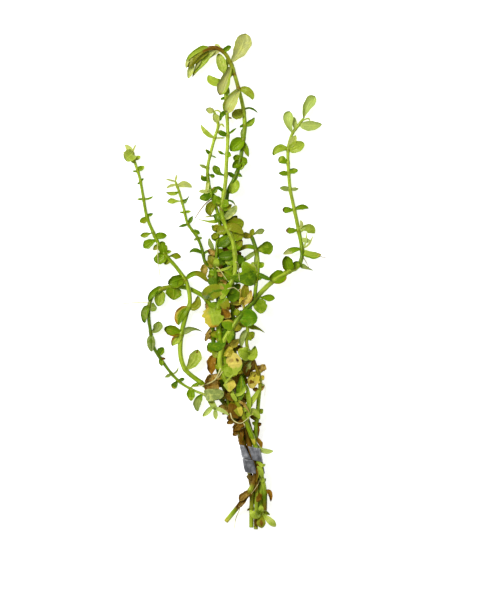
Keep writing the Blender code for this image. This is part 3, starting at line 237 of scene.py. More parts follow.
def tall_arching_shoot():
    route = [(6.5, -21, 1.9), (5.9, -14, 2.0)] + through_tie(1, -1) + [
        (-2.5, 20, 2.2), (-7, 40, 3.0), (-9.3, 60, 4.0), (-9.6, 78, 5.0), (-10, 95, 5.2),
        (-11, 110, 5.6), (-12.6, 124, 5.8), (-12, 133, 5.6), (-8, 141, 4.6), (-5.8, 149, 3.8),
        (-4.6, 157.5, 3.4), (-3.6, 165, 3.0), (-4.3, 174, 2.7), (-6.6, 184, 2.6), (-9, 192.5, 3.0),
        (-10.8, 197.5, 3.6), (-14, 202.6, 4.4), (-18.5, 204.8, 4.8), (-22.5, 204, 4.4),
        (-27, 200.5, 3.2), (-31, 196, 1.9)]
    leaves = [
        leaf((-21, 204.5), (-32.8, 195), 5.6, "long", "dark", 1.0, (-28, 202.4), look="olive", fold=-0.1,
             rim_curl=0.1, twist=0, cup=0.05, vary=0,
             marks=(("mottle", "dull", 0.42), ("left", "olive", 0.25), ("right", "mid", 0.18))),
        leaf((-29.5, 198), (-32, 189.6), 3.2, "round", "pale", -0.6, skew=0),
        leaf((-17.5, 204.6), (-29.8, 190.4), 4.6, "oval", "light", -2.0, (-23.5, 201), point=0.5, skew=0,
             twist=0, fold=0, marks=(("mottle", "mid", 0.36), ("tip", "olive", 0.10), ("base", "pale", 0.30))),
        leaf((-11, 197.5), (-3.2, 211.9), 6.8, "oval", "pale", 1.2, (-4.6, 202.5), twist=0, wave=0.1, skew=0.1,
             rim_curl=0.1, vary=0.1, broad=1.15, look="dull", shape="fan", point=0.5,
             marks=(("left", "light", 0.06), ("mottle", "pale", 0.42))),
        leaf((-14.3, 203), (-10.3, 205.4), 2.6, "round", "dark", 1.2),
        leaf((-15.6, 204), (-18.4, 206.8), 2.4, "round", "pale", -1.2),
        leaf((-10.3, 196), (-16.2, 181), 4.8, "oval", "pale", 1.8, twist=0, vary=0.15, skew=0.1, broad=1.25,
             look="dull", shape="fan", point=0.4,
             marks=(("left", "light", 0.30), ("tip", "brown", 0.02), ("base", "olive", 0.10))),
        leaf((-9.6, 194), (-11.9, 189), 3.6, "oval", "light", -0.8, (-12.6, 193.4), broad=1.4),
        leaf((-6.4, 184.3), (0.4, 178.8), 4.4, "oval", "olive", 0.8, (-0.6, 184.6), look="light", skew=-0.3,
             marks=(("mottle", "olive", 0.5), ("right", "mid", 0.04))),
        leaf((-6.8, 183.8), (-12.2, 173), 5.0, "round", "pale", 0.4, shape="fan", broad=1.25, over=8.4,
             bend=(-10.6, 178.4), end=(-12.6, 172.8), marks=(("right", "light", 0.2), ("mottle", "tan", 0.34))),
        leaf((-4.2, 172.5), (-10.1, 170.6), 5.4, "round", "olive", 0.8, twist=0,
             marks=(("rim", "brown", 0.02), ("mottle", "light", 0.50))),
        leaf((-4.2, 174), (2.8, 172.4), 1.0, "long", "dark", 0.4, (-0.6, 176.3)),
        leaf((-3.6, 166), (1.1, 170.3), 2.9, "oval", "mid", 0.6, (0.2, 166.6)),
        leaf((-3.7, 166.6), (-6.3, 165), 1.6, "oval", "dark"),
        leaf((-3.9, 165.6), (-5.3, 159.8), 2.2, "oval", "grey"),
        leaf((-4.6, 159.8), (-10.9, 153.2), 6.0, "oval", "mid", 0.8),
        leaf((-4.4, 158.6), (-1.7, 150.4), 2.8, "oval", "mid"),
        leaf((-5.8, 149.5), (-9.6, 150.2), 3.6, "round", "mid", 0.4),
        leaf((-6, 148), (-9.8, 144.8), 3.8, "round", "mid", 1.0, broad=1.1),
        leaf((-5.8, 148.5), (-2.2, 147.4), 4.6, "round", "mid", 0.8),
        leaf((-6, 147.5), (-5.4, 143.7), 4.0, "round", "light", 1.6, look="mid", broad=1.15,
             marks=(("mottle", "light", 0.42),)),
        leaf((-7.4, 142.4), (-4.8, 140.5), 2.0, "round", "dark"),
        leaf((-9, 139.6), (-11.4, 132.2), 5.4, "oval", "light", 1.0, (-7, 134.5)),
        leaf((-8.6, 140.3), (-12.2, 142.6), 2.4, "oval", "dark"),
        leaf((-11, 108), (-5.6, 106.2), 3.4, "round", "olive", 0.6),
        leaf((-9.8, 98), (-4.2, 95.6), 3.6, "round", "olive", -0.6),
        leaf((-9.2, 62), (-14.8, 60), 4.0, "round", "brown", -0.6),
        leaf((-8.5, 56), (-3.6, 53.4), 3.6, "round", "brown", -0.6),
        leaf((-7.2, 43), (-3, 39), 3.8, "round", "dark", -0.6),
    ]
    bark = [
        ((6.5, -21), "stem"), ((5.9, -14), "stem_dark"), ((-2.5, 20), "umber"), ((-7, 40), "brown"),
        ((-9.3, 60), "stem_dark"), ((-10, 95), "stem"), ((-12, 128), "dark"), ((-6, 148), "dark"),
        ((-3.6, 163), "stem"), ((-4.3, 174), "stem_light"), ((-6.4, 183.4), "stem_light"), ((-6.8, 184.6), "brown"),
        ((-7.1, 185.8), "olive"), ((-8.4, 190.4), "stem_light"), ((-8.8, 191.6), "brown"),
        ((-9.2, 192.8), "stem_light"), ((-10.8, 197.5), "olive"),
        ((-13, 201.6), "olive"), ((-16, 204.2), "brown"), ((-24, 203), "brown"), ((-31, 196), "olive")]
    roots = []
    scraps = [
        leaf((-20.8, 205.2), (-32.8, 198), 2.0, "long", "mid", 1.2, (-27.8, 204.4), look="light", twist=0),
        leaf((-16, 204.4), (-30.2, 196), 1.2, "long", "brown", 1.8, (-25.2, 205.4), over=6.6, twist=0, vary=0,
             look="olive", marks=(("base", "brown", 0.55),)),
        leaf((-26, 201.6), (-31.4, 194.8), 1.5, "long", "grey", 1.9, (-29.6, 198.6), look="olive",
             marks=(("mottle", "brown", 0.4),)),
        leaf((-15.4, 203.4), (-24.6, 198.8), 2.8, "oval", "pale", -1.4, (-20.6, 201.6), look="dull"),
        leaf((-29.6, 198), (-32.8, 194.4), 1.3, "long", "pale", 0.4, (-32.9, 199.6), over=5.4, broad=1.2),
        leaf((-24.6, 202.6), (-29, 193.4), 2.0, "oval", "olive", -0.4, (-26.4, 197.4), look="dull",
             marks=(("mottle", "olive", 0.42),)),
    ]
    scraps += tuft((-9.3, 60), (-9.6, 78), 3, 5.0, ("brown", "tan", "olive"), -0.8)
    scraps += tuft((-9.8, 82), (-10.6, 106), 5, 5.5, ("dark", "mid", "olive", "dark", "brown"), -0.5)
    scraps += tuft((-11, 109), (-12.4, 124), 3, 5.0, ("dark", "olive", "mid"), -0.5)
    scraps += tuft((-3, 22), (-7.6, 44), 4, 4.5, ("brown", "umber", "olive", "tan"), -0.6)
    return stem("tall_arching_shoot", route, (1.1, 0.95, 0.8), "olive_green", bark, leaves, scraps, roots)


def upright_shoot():
    route = [(-13, -31.5, 2.2), (-6, -22.8, 5.2), (-2, -17.6, 6.9), (0.6, -12.2, 7.3)]
    route += through_tie(0, 1) + [
        (-4.2, 17, 7.6), (-8.3, 29, 8.0), (-12, 42, 8.2), (-15, 55, 8.2), (-17, 68, 8.3),
        (-16.6, 76, 8.8), (-13.5, 82.3, 9.3), (-10.5, 87.5, 9.5), (-8.5, 93, 9.5), (-8.5, 100, 9.5),
        (-9.6, 108.2, 9.5), (-12.6, 114.8, 9.5), (-14.4, 119.5, 9.5), (-15.2, 124.5, 9.3),
        (-14.2, 131, 9.0), (-13.2, 138, 8.3), (-12.7, 148, 7.0), (-12.1, 160, 5.8), (-12.5, 172, 4.6),
        (-13.3, 183, 3.8), (-14, 192.5, 3.2)]
    leaves = [
        leaf((-14, 192), (-16.8, 202), 5.2, "round", "light", -0.4, marks=(("mottle", "pale", 0.5),)),
        leaf((-14, 192), (-12.3, 199.6), 1.5, "long", "pale", -0.6, look="light", broad=1.6),
        leaf((-13.8, 188), (-21.8, 191.2), 3.8, "round", "light", 0.2, (-20, 186.4), broad=1.1),
        leaf((-13, 180), (-15.8, 179), 1.4, "long", "dark"),
        leaf((-13, 180), (-11.8, 182.2), 1.0, "long", "dark"),
        leaf((-13.2, 179), (-14.4, 174.2), 2.2, "oval", "mid"),
        leaf((-12.6, 172.4), (-15.8, 168.2), 2.4, "round", "dark", 1.0, (-15.4, 172.8)),
        leaf((-12.4, 170), (-9.9, 169.5), 0.9, "long", "brown"),
        leaf((-12.1, 160.8), (-17.4, 163), 2.8, "oval", "dark", 0.8),
        leaf((-12.1, 161.2), (-7.6, 164.7), 1.2, "oval", "dark"),
        leaf((-12.6, 151.5), (-17, 153.4), 1.6, "stalk", "dark", 0.4, (-15, 151.4)),
        leaf((-12.6, 151.5), (-10.2, 150.8), 2.8, "round", "mid", 0.8),
        leaf((-13, 141), (-19, 146), 4.0, "stalk", "dark", 0.2, (-17.6, 141)),
        leaf((-14, 132), (-20, 131), 1.8, "long", "dark", 0.8, (-17, 138)),
        leaf((-14.6, 128.6), (-19.2, 132), 4.2, "oval", "mid", 1.2, (-18.6, 127.6)),
        leaf((-15, 127.6), (-11.4, 126.2), 4.2, "round", "mid", 1.3),
        leaf((-14.8, 127.6), (-8.3, 125.8), 1.0, "long", "dark", 0.6, (-9.8, 130)),
        leaf((-15.1, 124), (-10, 126.4), 3.2, "oval", "olive", -0.8),
        leaf((-14.2, 119), (-7.5, 125.9), 2.8, "oval", "pale", 0.8, look="grey", broad=1.3,
             marks=(("mottle", "pale", 0.5),)),
        leaf((-12.4, 114.4), (-4.1, 118), 7.4, "round", "olive", 0.4),
        leaf((-10.4, 110.6), (-17.4, 105.4), 6.0, "oval", "dark", -1.2),
        leaf((-9, 104.2), (-5, 109), 3.8, "round", "olive", -0.8),
        leaf((-8.6, 101.5), (-17.2, 100.8), 5.0, "oval", "dark", -1.0),
        leaf((-9.4, 91), (-14.6, 94.4), 2.0, "oval", "mid", 0.2),
        leaf((-13, 83), (-5.8, 80.6), 5.2, "round", "dark", -1.0, broad=1.3),
        leaf((-15.5, 79.4), (-12.4, 75.2), 3.8, "round", "olive", 0.8, over=12.0, broad=1.3),
        leaf((-16.8, 74.6), (-10.4, 70.4), 4.6, "oval", "rust", -0.6, marks=(("rim", "cream", 0.2), ("mottle", "umber", 0.4))),
        leaf((-16.2, 62), (-10.6, 64), 4.4, "round", "dark", -0.6),
        leaf((-15.2, 57), (-22, 56.6), 4.2, "round", "mid", 0.6, (-19, 53.4)),
        leaf((-13.2, 47), (-4.9, 47.6), 8.8, "round", "cream", 1.0, over=12.3, twist=0, broad=1.12, skew=-0.1,
             torn=0.2, wave=0.4, vary=0, rim_curl=0.2,
             marks=(("right", "light", 0.32), ("patch", "tan", 0.14, 0.36, -0.3),
                    ("patch", "umber", 0.11, 0.72, -0.24))),
        leaf((-11.4, 40), (-11.2, 33.4), 4.4, "round", "yellow", 1.0, over=12.1, broad=1.1,
             marks=(("right", "light", 0.35), ("mottle", "cream", 0.5))),
        leaf((-8.6, 30), (-11, 21), 4.6, "oval", "brown", 0.8, over=11.2),
        leaf((-7, 27.4), (-5.6, 21.4), 3.0, "oval", "yellow", 0.8, over=12.2, broad=1.25,
             marks=(("right", "olive", 0.4),)),
        leaf((-4.2, 17), (-7.6, 13.4), 3.4, "round", "brown", 0.6),
        leaf((-1, -15.8), (-6, -22.4), 3.2, "long", "brown", 0.8, end=(-6.4, -21), broad=1.15,
             marks=(("mottle", "tan", 0.5), ("left", "umber", 0.2))),
    ]
    bark = [
        ((-13, -31.5), "yellow"), ((-11, -29), "light"), ((-8.4, -26), "stem"), ((-7.2, -24.4), "brown"),
        ((-2, -17.6), "brown"),
        ((-0.6, -15), "stem_light"), ((0.6, -12.2), "brown"), ((0.4, -8), "umber"), ((-1, 6), "brown"),
        ((-2.4, 12), "umber"), ((-4.2, 17), "brown"), ((-8.3, 29), "brown"),
        ((-12, 42), "stem"), ((-17, 68), "stem"), ((-13.5, 82), "stem"), ((-8.5, 93), "stem_light"),
        ((-12.6, 114.8), "stem_light"), ((-14.4, 120), "stem"), ((-14.2, 131), "stem_light"),
        ((-14, 192.5), "stem_light")]
    roots = [
        ([(-8.4, 98), (-7, 97), (-6.5, 91), (-6, 86.5)], 0.3, "root"),
        ([(-12.4, 84.4), (-10.4, 85), (-8.6, 85), (-5.5, 82.5)], 0.3, "root"),
        ([(-4.4, 18.4), (-3.5, 16), (-5.5, 15)], 0.3, "root"),
        ([(-6, -23.4), (-6.4, -26), (-8, -30), (-9, -35.5)], 0.26, "root")]
    scraps = [
        leaf((-10.4, 87.6), (-15.6, 79.4), 3.0, "long", "mid", 1.6, over=12.0),
        leaf((-12.6, 115.6), (-4.2, 111.8), 4.6, "oval", "olive", 1.4, (-8.6, 116.4), skew=0.4, over=12.3,
             marks=(("left", "brown", 0.08), ("mottle", "brown", 0.34), ("mottle", "mid", 0.4))),
        leaf((-9.8, 109), (-4.4, 112.8), 4.2, "round", "olive", -0.6, broad=1.2),
        leaf((-13.9, 190.6), (-8.6, 189.6), 4.2, "round", "light", 0.4, (-12, 193.6), broad=1.4, end=(-8.2, 189.4),
             bend=(-11.2, 192)),
        leaf((-13.8, 187), (-11.6, 181.6), 2.6, "oval", "light", -0.4),
        leaf((-5, 18), (-2.2, 6.6), 2.8, "long", "brown", -0.8, (-2.4, 12)),
        leaf((-5, 18.5), (-5.4, 8), 2.4, "long", "brown", -1.0, (-5.6, 12)),
        leaf((-3.6, 14.6), (0.2, 8), 2.2, "long", "umber", -0.6),
        leaf((0.6, -10), (-2.8, -8.6), 2.4, "round", "umber", -0.6),
        leaf((0.6, -9), (1.4, -16.6), 2.6, "long", "brown", -0.6),
        leaf((0.4, -12.6), (-1.2, -19.4), 2.0, "oval", "brown", 0.6),
        leaf((-3, -18.8), (-7.6, -24.6), 2.8, "long", "umber", 0.9, marks=(("mottle", "brown", 0.5),)),
    ]
    scraps += tuft((-5, 19), (-8, 28), 2, 4.0, ("brown", "tan", "umber"), -0.8)
    scraps += tuft((-12.4, 44), (-16.4, 64), 3, 4.6, ("olive", "tan", "yellow", "brown"), -1.2)
    scraps += tuft((-15, 80), (-9, 92), 2, 5.4, ("mid", "dark"), -1.6)
    scraps += tuft((-8.5, 94), (-9.4, 107), 2, 5.4, ("olive", "dark", "mid"), -1.4)
    scraps += tuft((-11, 111), (-14.6, 122), 2, 5.2, ("dark", "mid", "olive"), -1.2)
    return stem("upright_shoot", route, (1.1, 1.2, 0.7), "bright_green", bark, leaves, scraps, roots)


def left_inner_shoot():
    route = [(1.9, -35.3, 3.4), (2.2, -24, 4.6), (2.3, -14, 4.8)] + through_tie(0, 0) + [
        (-5.8, 20, 4.9), (-10, 37, 4.9), (-13, 52, 5.0), (-15, 66, 5.2), (-16.8, 78, 5.4),
        (-17.9, 88, 5.7), (-18, 96, 5.8), (-17.5, 104, 5.3), (-17, 111.5, 5.0), (-16, 117, 5.0),
        (-17, 122, 5.0), (-19.5, 130, 4.7), (-21.6, 137, 4.0), (-22.2, 144, 3.4), (-21, 151, 2.8),
        (-18.6, 160, 2.5), (-16.9, 166, 2.5), (-18, 170, 2.5), (-19, 173.4, 2.5)]
    leaves = [
        leaf((-19, 173.2), (-23, 174.4), 3.4, "round", "pale", 0.3),
        leaf((-17.4, 167.4), (-19.2, 172), 3.6, "round", "pale", 0.8),
        leaf((-19, 173.2), (-15.2, 171.4), 0.9, "long", "pale", 0.3, (-16.2, 174.6)),
        leaf((-17, 165.8), (-13.8, 165), 1.0, "long", "pale", 0.4, (-14.6, 168)),
        leaf((-18.6, 160), (-25.5, 166.6), 2.6, "oval", "light", 0.4, (-23.6, 161.2)),
        leaf((-18.6, 159.8), (-13.4, 160), 0.9, "long", "pale", -0.6),
        leaf((-20.8, 151.5), (-23.2, 154.2), 1.7, "oval", "dark", 0.4),
        leaf((-20.8, 151.3), (-17.6, 150), 0.8, "long", "mid", 0.4),
        leaf((-22.2, 144.8), (-26.4, 146.5), 1.7, "oval", "grey", 0.6),
        leaf((-22, 141.6), (-18.4, 140.6), 2.2, "stalk", "dark", 0.6),
        leaf((-22, 139.6), (-25.2, 141.4), 2.8, "oval", "dark", 1.0, (-24.6, 138.6)),
        leaf((-21.8, 138.4), (-22.8, 132.8), 1.9, "long", "pale", 1.2),
        leaf((-20.4, 133), (-26.5, 133.2), 2.0, "round", "pale", 1.2),
        leaf((-20, 131.4), (-26.2, 129.6), 4.2, "round", "dark", 0.6),
        leaf((-18.8, 127.6), (-20.6, 121), 4.6, "round", "olive", 1.4, (-22.8, 124.6)),
        leaf((-16.4, 118.6), (-27.2, 119.4), 1.8, "taper", "light", 0.6, (-20, 117)),
        leaf((-17, 121), (-24, 120.2), 0.9, "long", "pale", -0.4),
        leaf((-16.4, 115.6), (-19.8, 114), 3.0, "round", "olive", 0.8),
        leaf((-17, 112), (-20.2, 109.8), 3.2, "round", "olive", 0.6),
        leaf((-17.6, 103), (-21.4, 110), 2.8, "stalk", "grey", 0.6, (-20.2, 104)),
        leaf((-17.9, 95), (-17.6, 100), 3.0, "round", "light", 1.6, twist=0, over=11.2,
             marks=(("mottle", "mid", 0.45),)),
        leaf((-18, 94), (-14.2, 96.2), 2.8, "round", "brown", 0.8),
        leaf((-17.8, 90), (-13, 88.4), 3.0, "round", "dark", -0.8),
        leaf((-15.6, 70), (-11.8, 73.6), 3.4, "oval", "rust", 0.4, marks=(("left", "cream", 0.3), ("mottle", "brown", 0.42))),
        leaf((-13.6, 55), (-9.4, 52), 3.2, "round", "yellow", 0.6, over=11.6, broad=1.5,
             marks=(("mottle", "brown", 0.48), ("mottle", "olive", 0.4))),
        leaf((-9.4, 34), (-13.8, 32.4), 3.4, "round", "brown", 0.6),
        leaf((-7.6, 27), (-4.4, 30.4), 2.4, "round", "dark", 0.6),
    ]
    bark = [
        ((1.9, -35.3), "olive"), ((2.2, -24), "stem_light"), ((2.3, -14), "olive"), ((1.6, -9), "brown"),
        ((-4, 13), "brown"),
        ((-10, 37), "brown"), ((-13, 52), "stem"), ((-17.9, 88), "stem_dark"), ((-17, 111.5), "stem"),
        ((-22, 140), "stem"), ((-21, 151), "stem_light"), ((-19, 173.4), "stem_light")]
    roots = [
        ([(-17.9, 95.4), (-16.5, 94.6), (-12.5, 89)], 0.3, "root"),
        ([(-20.2, 129.4), (-23, 127.4), (-25.5, 124.5), (-28.5, 120)], 0.32, "root_brown"),
        ([(-18.4, 127.2), (-16.4, 125.4), (-14.5, 123)], 0.3, "root_brown")]
    scraps = [leaf((-17.9, 93.6), (-9.8, 96.2), 1.2, "long", "light", 3.0, (-14, 93.6), over=9.4)]
    scraps += [leaf((2, -30), (2.4, -33.8), 2.4, "round", "umber", 0.6, over=7.2)]
    scraps += tuft((-13.4, 54), (-16.6, 77), 4, 5.2, ("yellow", "brown", "mid", "tan", "olive"), -0.4)
    scraps += tuft((-17.4, 84), (-17.6, 104), 4, 5.4, ("dark", "olive", "mid", "tan"), -0.5)
    scraps += tuft((-17.2, 106), (-16.4, 120), 3, 4.6, ("olive", "brown", "dark", "mid"), -0.4)
    scraps += tuft((-17.4, 123), (-21, 135), 2, 3.8, ("dark", "mid", "olive"), -0.4)
    scraps += tuft((-5.4, 18), (-10.6, 40), 4, 4.4, ("brown", "rust", "olive", "umber"), -0.3)
    return stem("left_inner_shoot", route, (1.0, 0.9, 0.6), "leaf_green", bark, leaves, scraps, roots)


def right_shoot():
    route = [(6.4, -26, 5.6), (6.4, -19, 6.2), (5.8, -13, 6.8)] + through_tie(1, 1) + [
        (-0.8, 13, 9.2), (-5.4, 24, 10.6), (-11.6, 36, 11.0), (-15.8, 46, 11.0), (-15.6, 53, 11.0),
        (-13.8, 59, 11.0), (-9.6, 65.8, 11.0), (-6, 71, 10.5), (-1.6, 75.6, 9.6), (2, 80, 8.6),
        (6.5, 84.8, 7.3), (10.4, 88.3, 6.2), (15, 91.4, 5.2), (19.4, 93.8, 4.5), (23, 96, 3.9),
        (24.9, 100.5, 3.3), (24.9, 105, 3.0), (23.6, 112, 2.6), (22, 120, 2.2), (20.3, 128, 2.0),
        (19, 134.5, 1.9), (18.3, 143, 1.9), (17.9, 151, 1.9), (18.6, 157.5, 1.9), (20.3, 162.4, 2.0),
        (23.2, 166.2, 2.1), (26, 170, 2.3)]
    leaves = [
        leaf((26, 169.6), (31, 180.3), 4.8, "oval", "pale", 0.4, (25, 175.6), look="fresh", twist=0, broad=1.15,
             shape="fan", end=(31.6, 180.6), bend=(26.6, 175.4), point=0.4),
        leaf((24.4, 167.8), (28.9, 168.2), 0.9, "long", "pale", 0.4, (28.6, 171), look="fresh"),
        leaf((23.4, 166.4), (34.9, 166.8), 4.4, "oval", "pale", 0.3, (29, 165), look="fresh", twist=0, broad=1.15),
        leaf((20.3, 162.4), (18.7, 173.3), 4.6, "fan", "light", 0.5, (16.8, 168), look="fresh", broad=1.15),
        leaf((21.6, 164.2), (20.8, 170.4), 2.6, "oval", "pale", 0.2, look="fresh"),
        leaf((18.3, 155.4), (21.9, 161.2), 3.6, "round", "pale", 0.8),
        leaf((18, 153.6), (26.2, 157.2), 5.8, "round", "light", 0.6),
        leaf((18, 153.8), (10.5, 151.1), 4.0, "oval", "mid", 0.4, (13.4, 156.4), look="light",
             marks=(("mottle", "mid", 0.42), ("rim", "mid", 0.12))),
        leaf((18, 147.4), (13.7, 149.2), 3.2, "fan", "mid", 0.4, broad=1.25, end=(13.4, 150.2)),
        leaf((18.3, 143), (23, 143.8), 2.8, "round", "mid", 0.4),
        leaf((18.3, 142.2), (13.2, 142.2), 2.6, "round", "mid", 0.4),
        leaf((19, 134.2), (23.4, 134.6), 1.8, "round", "grey", 0.4),
        leaf((19, 134.2), (13.8, 134.9), 2.6, "round", "grey", 0.4),
        leaf((21.2, 124), (28.3, 124.7), 2.7, "oval", "mid", 0.4, (25, 126.6)),
        leaf((21.2, 124), (15.1, 124), 3.2, "fan", "mid", 0.4, marks=(("tip", "brown", 0.16), ("mottle", "dark", 0.4))),
        leaf((23.3, 113.8), (16.8, 113.6), 3.4, "fan", "mid", 0.4, marks=(("tip", "brown", 0.20), ("mottle", "olive", 0.4))),
        leaf((23.4, 113.4), (24.3, 118.9), 1.7, "long", "pale", 0.6, (25.8, 115.4)),
        leaf((23.5, 113), (31.2, 112.2), 4.4, "fan", "light", 0.4, (28, 117.6)),
        leaf((24.8, 105.4), (30.4, 111), 1.0, "long", "pale", 0.3, (28, 104.4)),
        leaf((24.9, 104), (15.5, 101.8), 3.2, "fan", "mid", 0.6, (22, 105.6), marks=(("tip", "dull", 0.30), ("base", "olive", 0.2))),
        leaf((24.9, 103.6), (34.6, 101.7), 3.6, "long", "mid", 0.4, (29, 100.6), look="light",
             marks=(("tip", "yellow", 0.22), ("right", "mid", 0.25), ("tip", "brown", 0.05))),
        leaf((23.4, 96.6), (30.6, 93.7), 2.6, "taper", "grey", 0.2),
        leaf((21.2, 94.8), (23, 98.4), 4.0, "round", "mid", 0.8),
        leaf((18.4, 93.2), (16.8, 100.3), 5.2, "round", "mid", 0.8, marks=(("left", "rust", 0.12), ("mottle", "dark", 0.4)),
             broad=1.2, end=(16.6, 101)),
        leaf((16.8, 92.4), (8.6, 90.4), 5.8, "round", "mid", 0.8, marks=(("tip", "olive", 0.10), ("left", "rust", 0.08)),
             broad=1.2, end=(8.4, 90.4), bend=(13.4, 89.4)),
        leaf((2.4, 80.4), (11.4, 79.8), 3.8, "stalk", "mid", 0.2),
        leaf((1.6, 79.4), (5.4, 72.4), 6.2, "round", "mid", 0.6),
        leaf((0.6, 78.4), (-6.4, 77), 2.0, "long", "yellow", 0.4, (-5, 84)),
        leaf((0.9, 78.8), (-6.4, 84.6), 3.2, "oval", "cream", -1.0),
        leaf((-6.6, 70.2), (2.8, 70.2), 8.6, "round", "mid", 0.4, twist=0, vary=0.1, skew=0.05, look="bright",
             marks=(("mottle", "mid", 0.42),)),
        leaf((-9, 66.8), (-15, 67.8), 5.0, "round", "yellow", 0.5, over=11.9, broad=1.1, look="mid",
             marks=(("right", "yellow", 0.30), ("mottle", "bright", 0.45), ("right", "rust", 0.05))),
        leaf((-9.8, 65.4), (-11.6, 57.4), 3.6, "oval", "mid", 0.2),
        leaf((-13.6, 40), (-20.4, 42), 3.0, "oval", "tan", -0.8),
        leaf((-9.4, 32), (-3.1, 37), 1.9, "long", "light", 0.2, (-4, 31)),
        leaf((-5, 23.4), (3.6, 34.8), 2.0, "long", "pale", -1.6, (-0.6, 27), look="light", broad=1.4),
        leaf((-3.6, 19.6), (3.4, 20.6), 3.0, "oval", "pale", -1.6, (1, 25), look="light", broad=1.3,
             bend=(0.4, 27), end=(3.8, 19.6)),
        leaf((-0.4, 11.6), (1.2, 6.9), 1.8, "round", "yellow", 0.5),
        leaf((4.4, -8), (5.1, -12.2), 2.2, "round", "light", 0.5),
        leaf((6.2, -17.8), (9.2, -20.9), 1.9, "long", "brown", -0.2, (9, -15), look="rust", broad=1.3,
             bend=(9.2, -13.6), end=(9.3, -21.4), marks=(("mottle", "brown", 0.5),)),
    ]
    bark = [
        ((6.4, -26), "brown"), ((6.4, -19), "stem_dark"), ((5.8, -13), "stem_light"), ((4, -7), "stem_light"),
        ((-0.8, 13), "stem"),
        ((-5.4, 24), "olive"), ((-11, 35), "stem"), ((-15.8, 46), "stem_light"), ((-9.6, 65.8), "stem_light"),
        ((-6, 71), "stem_dark"), ((-2, 75), "stem_dark"), ((2, 80), "stem_dark"), ((5, 83.4), "stem_light"),
        ((10.4, 88.3), "stem_light"), ((19.4, 93.8), "stem_light"), ((24.9, 101), "stem_dark"), ((24.5, 106), "stem"),
        ((20.3, 128), "stem_light"), ((17.9, 151), "stem_light"), ((26, 170), "light")]
    roots = [
        ([(25, 101.2), (27, 98), (28.5, 95)], 0.2, "root_brown"),
        ([(33.4, 101), (35.6, 100.4), (37.4, 100)], 0.16, "root_brown"),
        ([(-15.4, 45.4), (-18.5, 39.4), (-24.5, 36.5), (-30, 35.6)], 0.42, "root"),
        ([(-14.4, 44), (-17, 40.4), (-20, 38)], 0.28, "root")]
    scraps = [
        leaf((-12.8, 59), (-21.9, 57.2), 4.4, "round", "mid", 1.4, (-18, 54.6), twist=0, vary=0.1, over=12.2,
             look="bright", end=(-21.9, 57.6), bend=(-17, 53.4), marks=(("mottle", "mid", 0.45),)),
        leaf((-14.6, 43.4), (-8.4, 41.2), 4.4, "oval", "mid", 1.2, (-12, 44), look="light", over=11.8,
             marks=(("mottle", "mid", 0.5),)),
        leaf((-12, 37), (-8.6, 43), 1.0, "long", "light", 1.6, (-15.6, 36), over=12.3),
        leaf((-13.4, 44.8), (-4.6, 42.4), 3.6, "oval", "olive", 0.8, (-8, 46), over=11.2,
             marks=(("tip", "umber", 0.14), ("mottle", "mid", 0.45))),
        leaf((-9.6, 34), (-7.4, 28.6), 2.3, "oval", "light", 1.2, (-9.4, 31), over=12.0, marks=(("rim", "dark", 0.12),)),
        leaf((-6.4, 26), (-11.6, 20.4), 5.2, "round", "brown", 1.2, over=11.4),
        leaf((-8.6, 30.6), (-13.2, 31.6), 4.6, "round", "brown", 1.3, look="brown", over=11.5,
             marks=(("mottle", "olive", 0.45), ("mottle", "umber", 0.4), ("tip", "umber", 0.2))),
        leaf((-7.6, 28.6), (-1.2, 22.8), 1.1, "long", "tan", 1.4, (-4.4, 29.4), over=12.2),
        leaf((-7.4, 28), (-5.4, 41.8), 3.4, "oval", "dark", -1.0, (-4.6, 34), broad=1.3,
             marks=(("midrib", "olive", 0.2), ("mottle", "mid", 0.5))),
        leaf((-2.8, 18), (-2.8, 37.2), 1.8, "long", "light", 0.2, (-0.4, 27), broad=1.3, marks=(("mottle", "mid", 0.45),)),
        leaf((-3.4, 19.6), (-9.4, 14.4), 3.6, "round", "brown", 0.8),
        leaf((3.2, -1.6), (2.2, -12.4), 2.2, "long", "brown", 1.0, (1.8, -6), over=9.2, bend=(3.2, -6),
             end=(1.6, -12), marks=(("mottle", "umber", 0.50), ("left", "olive", 0.25))),
        leaf((3.4, -1.4), (6.6, -2.6), 1.9, "oval", "light", 1.0, (4.8, -4.2), over=9.6),
        leaf((3.6, -2.4), (5.4, -9.2), 2.3, "long", "light", 1.0, over=9.8, marks=(("mottle", "mid", 0.4),)),
        leaf((23.6, 112.4), (27, 116.6), 2.0, "oval", "pale", 0.6, look="fresh"),
        leaf((24.9, 104.6), (27.2, 112.6), 1.0, "long", "pale", 0.4, (27.4, 106.6), look="fresh"),
        leaf((24.2, 109.4), (29.4, 108.4), 2.6, "round", "light", 0.2, look="fresh"),
    ]
    scraps += tuft((-1.6, 15), (-5, 23), 1, 3.4, ("brown", "olive"), -1.0)
    scraps += tuft((-14, 42), (-15.4, 54), 2, 4.4, ("tan", "olive", "mid"), -1.4)
    scraps += tuft((-12, 62), (-4, 73), 2, 4.6, ("mid", "olive", "yellow"), -1.4)
    return stem("right_shoot", route, (1.0, 1.15, 0.6), "bright_green", bark, leaves, scraps, roots)


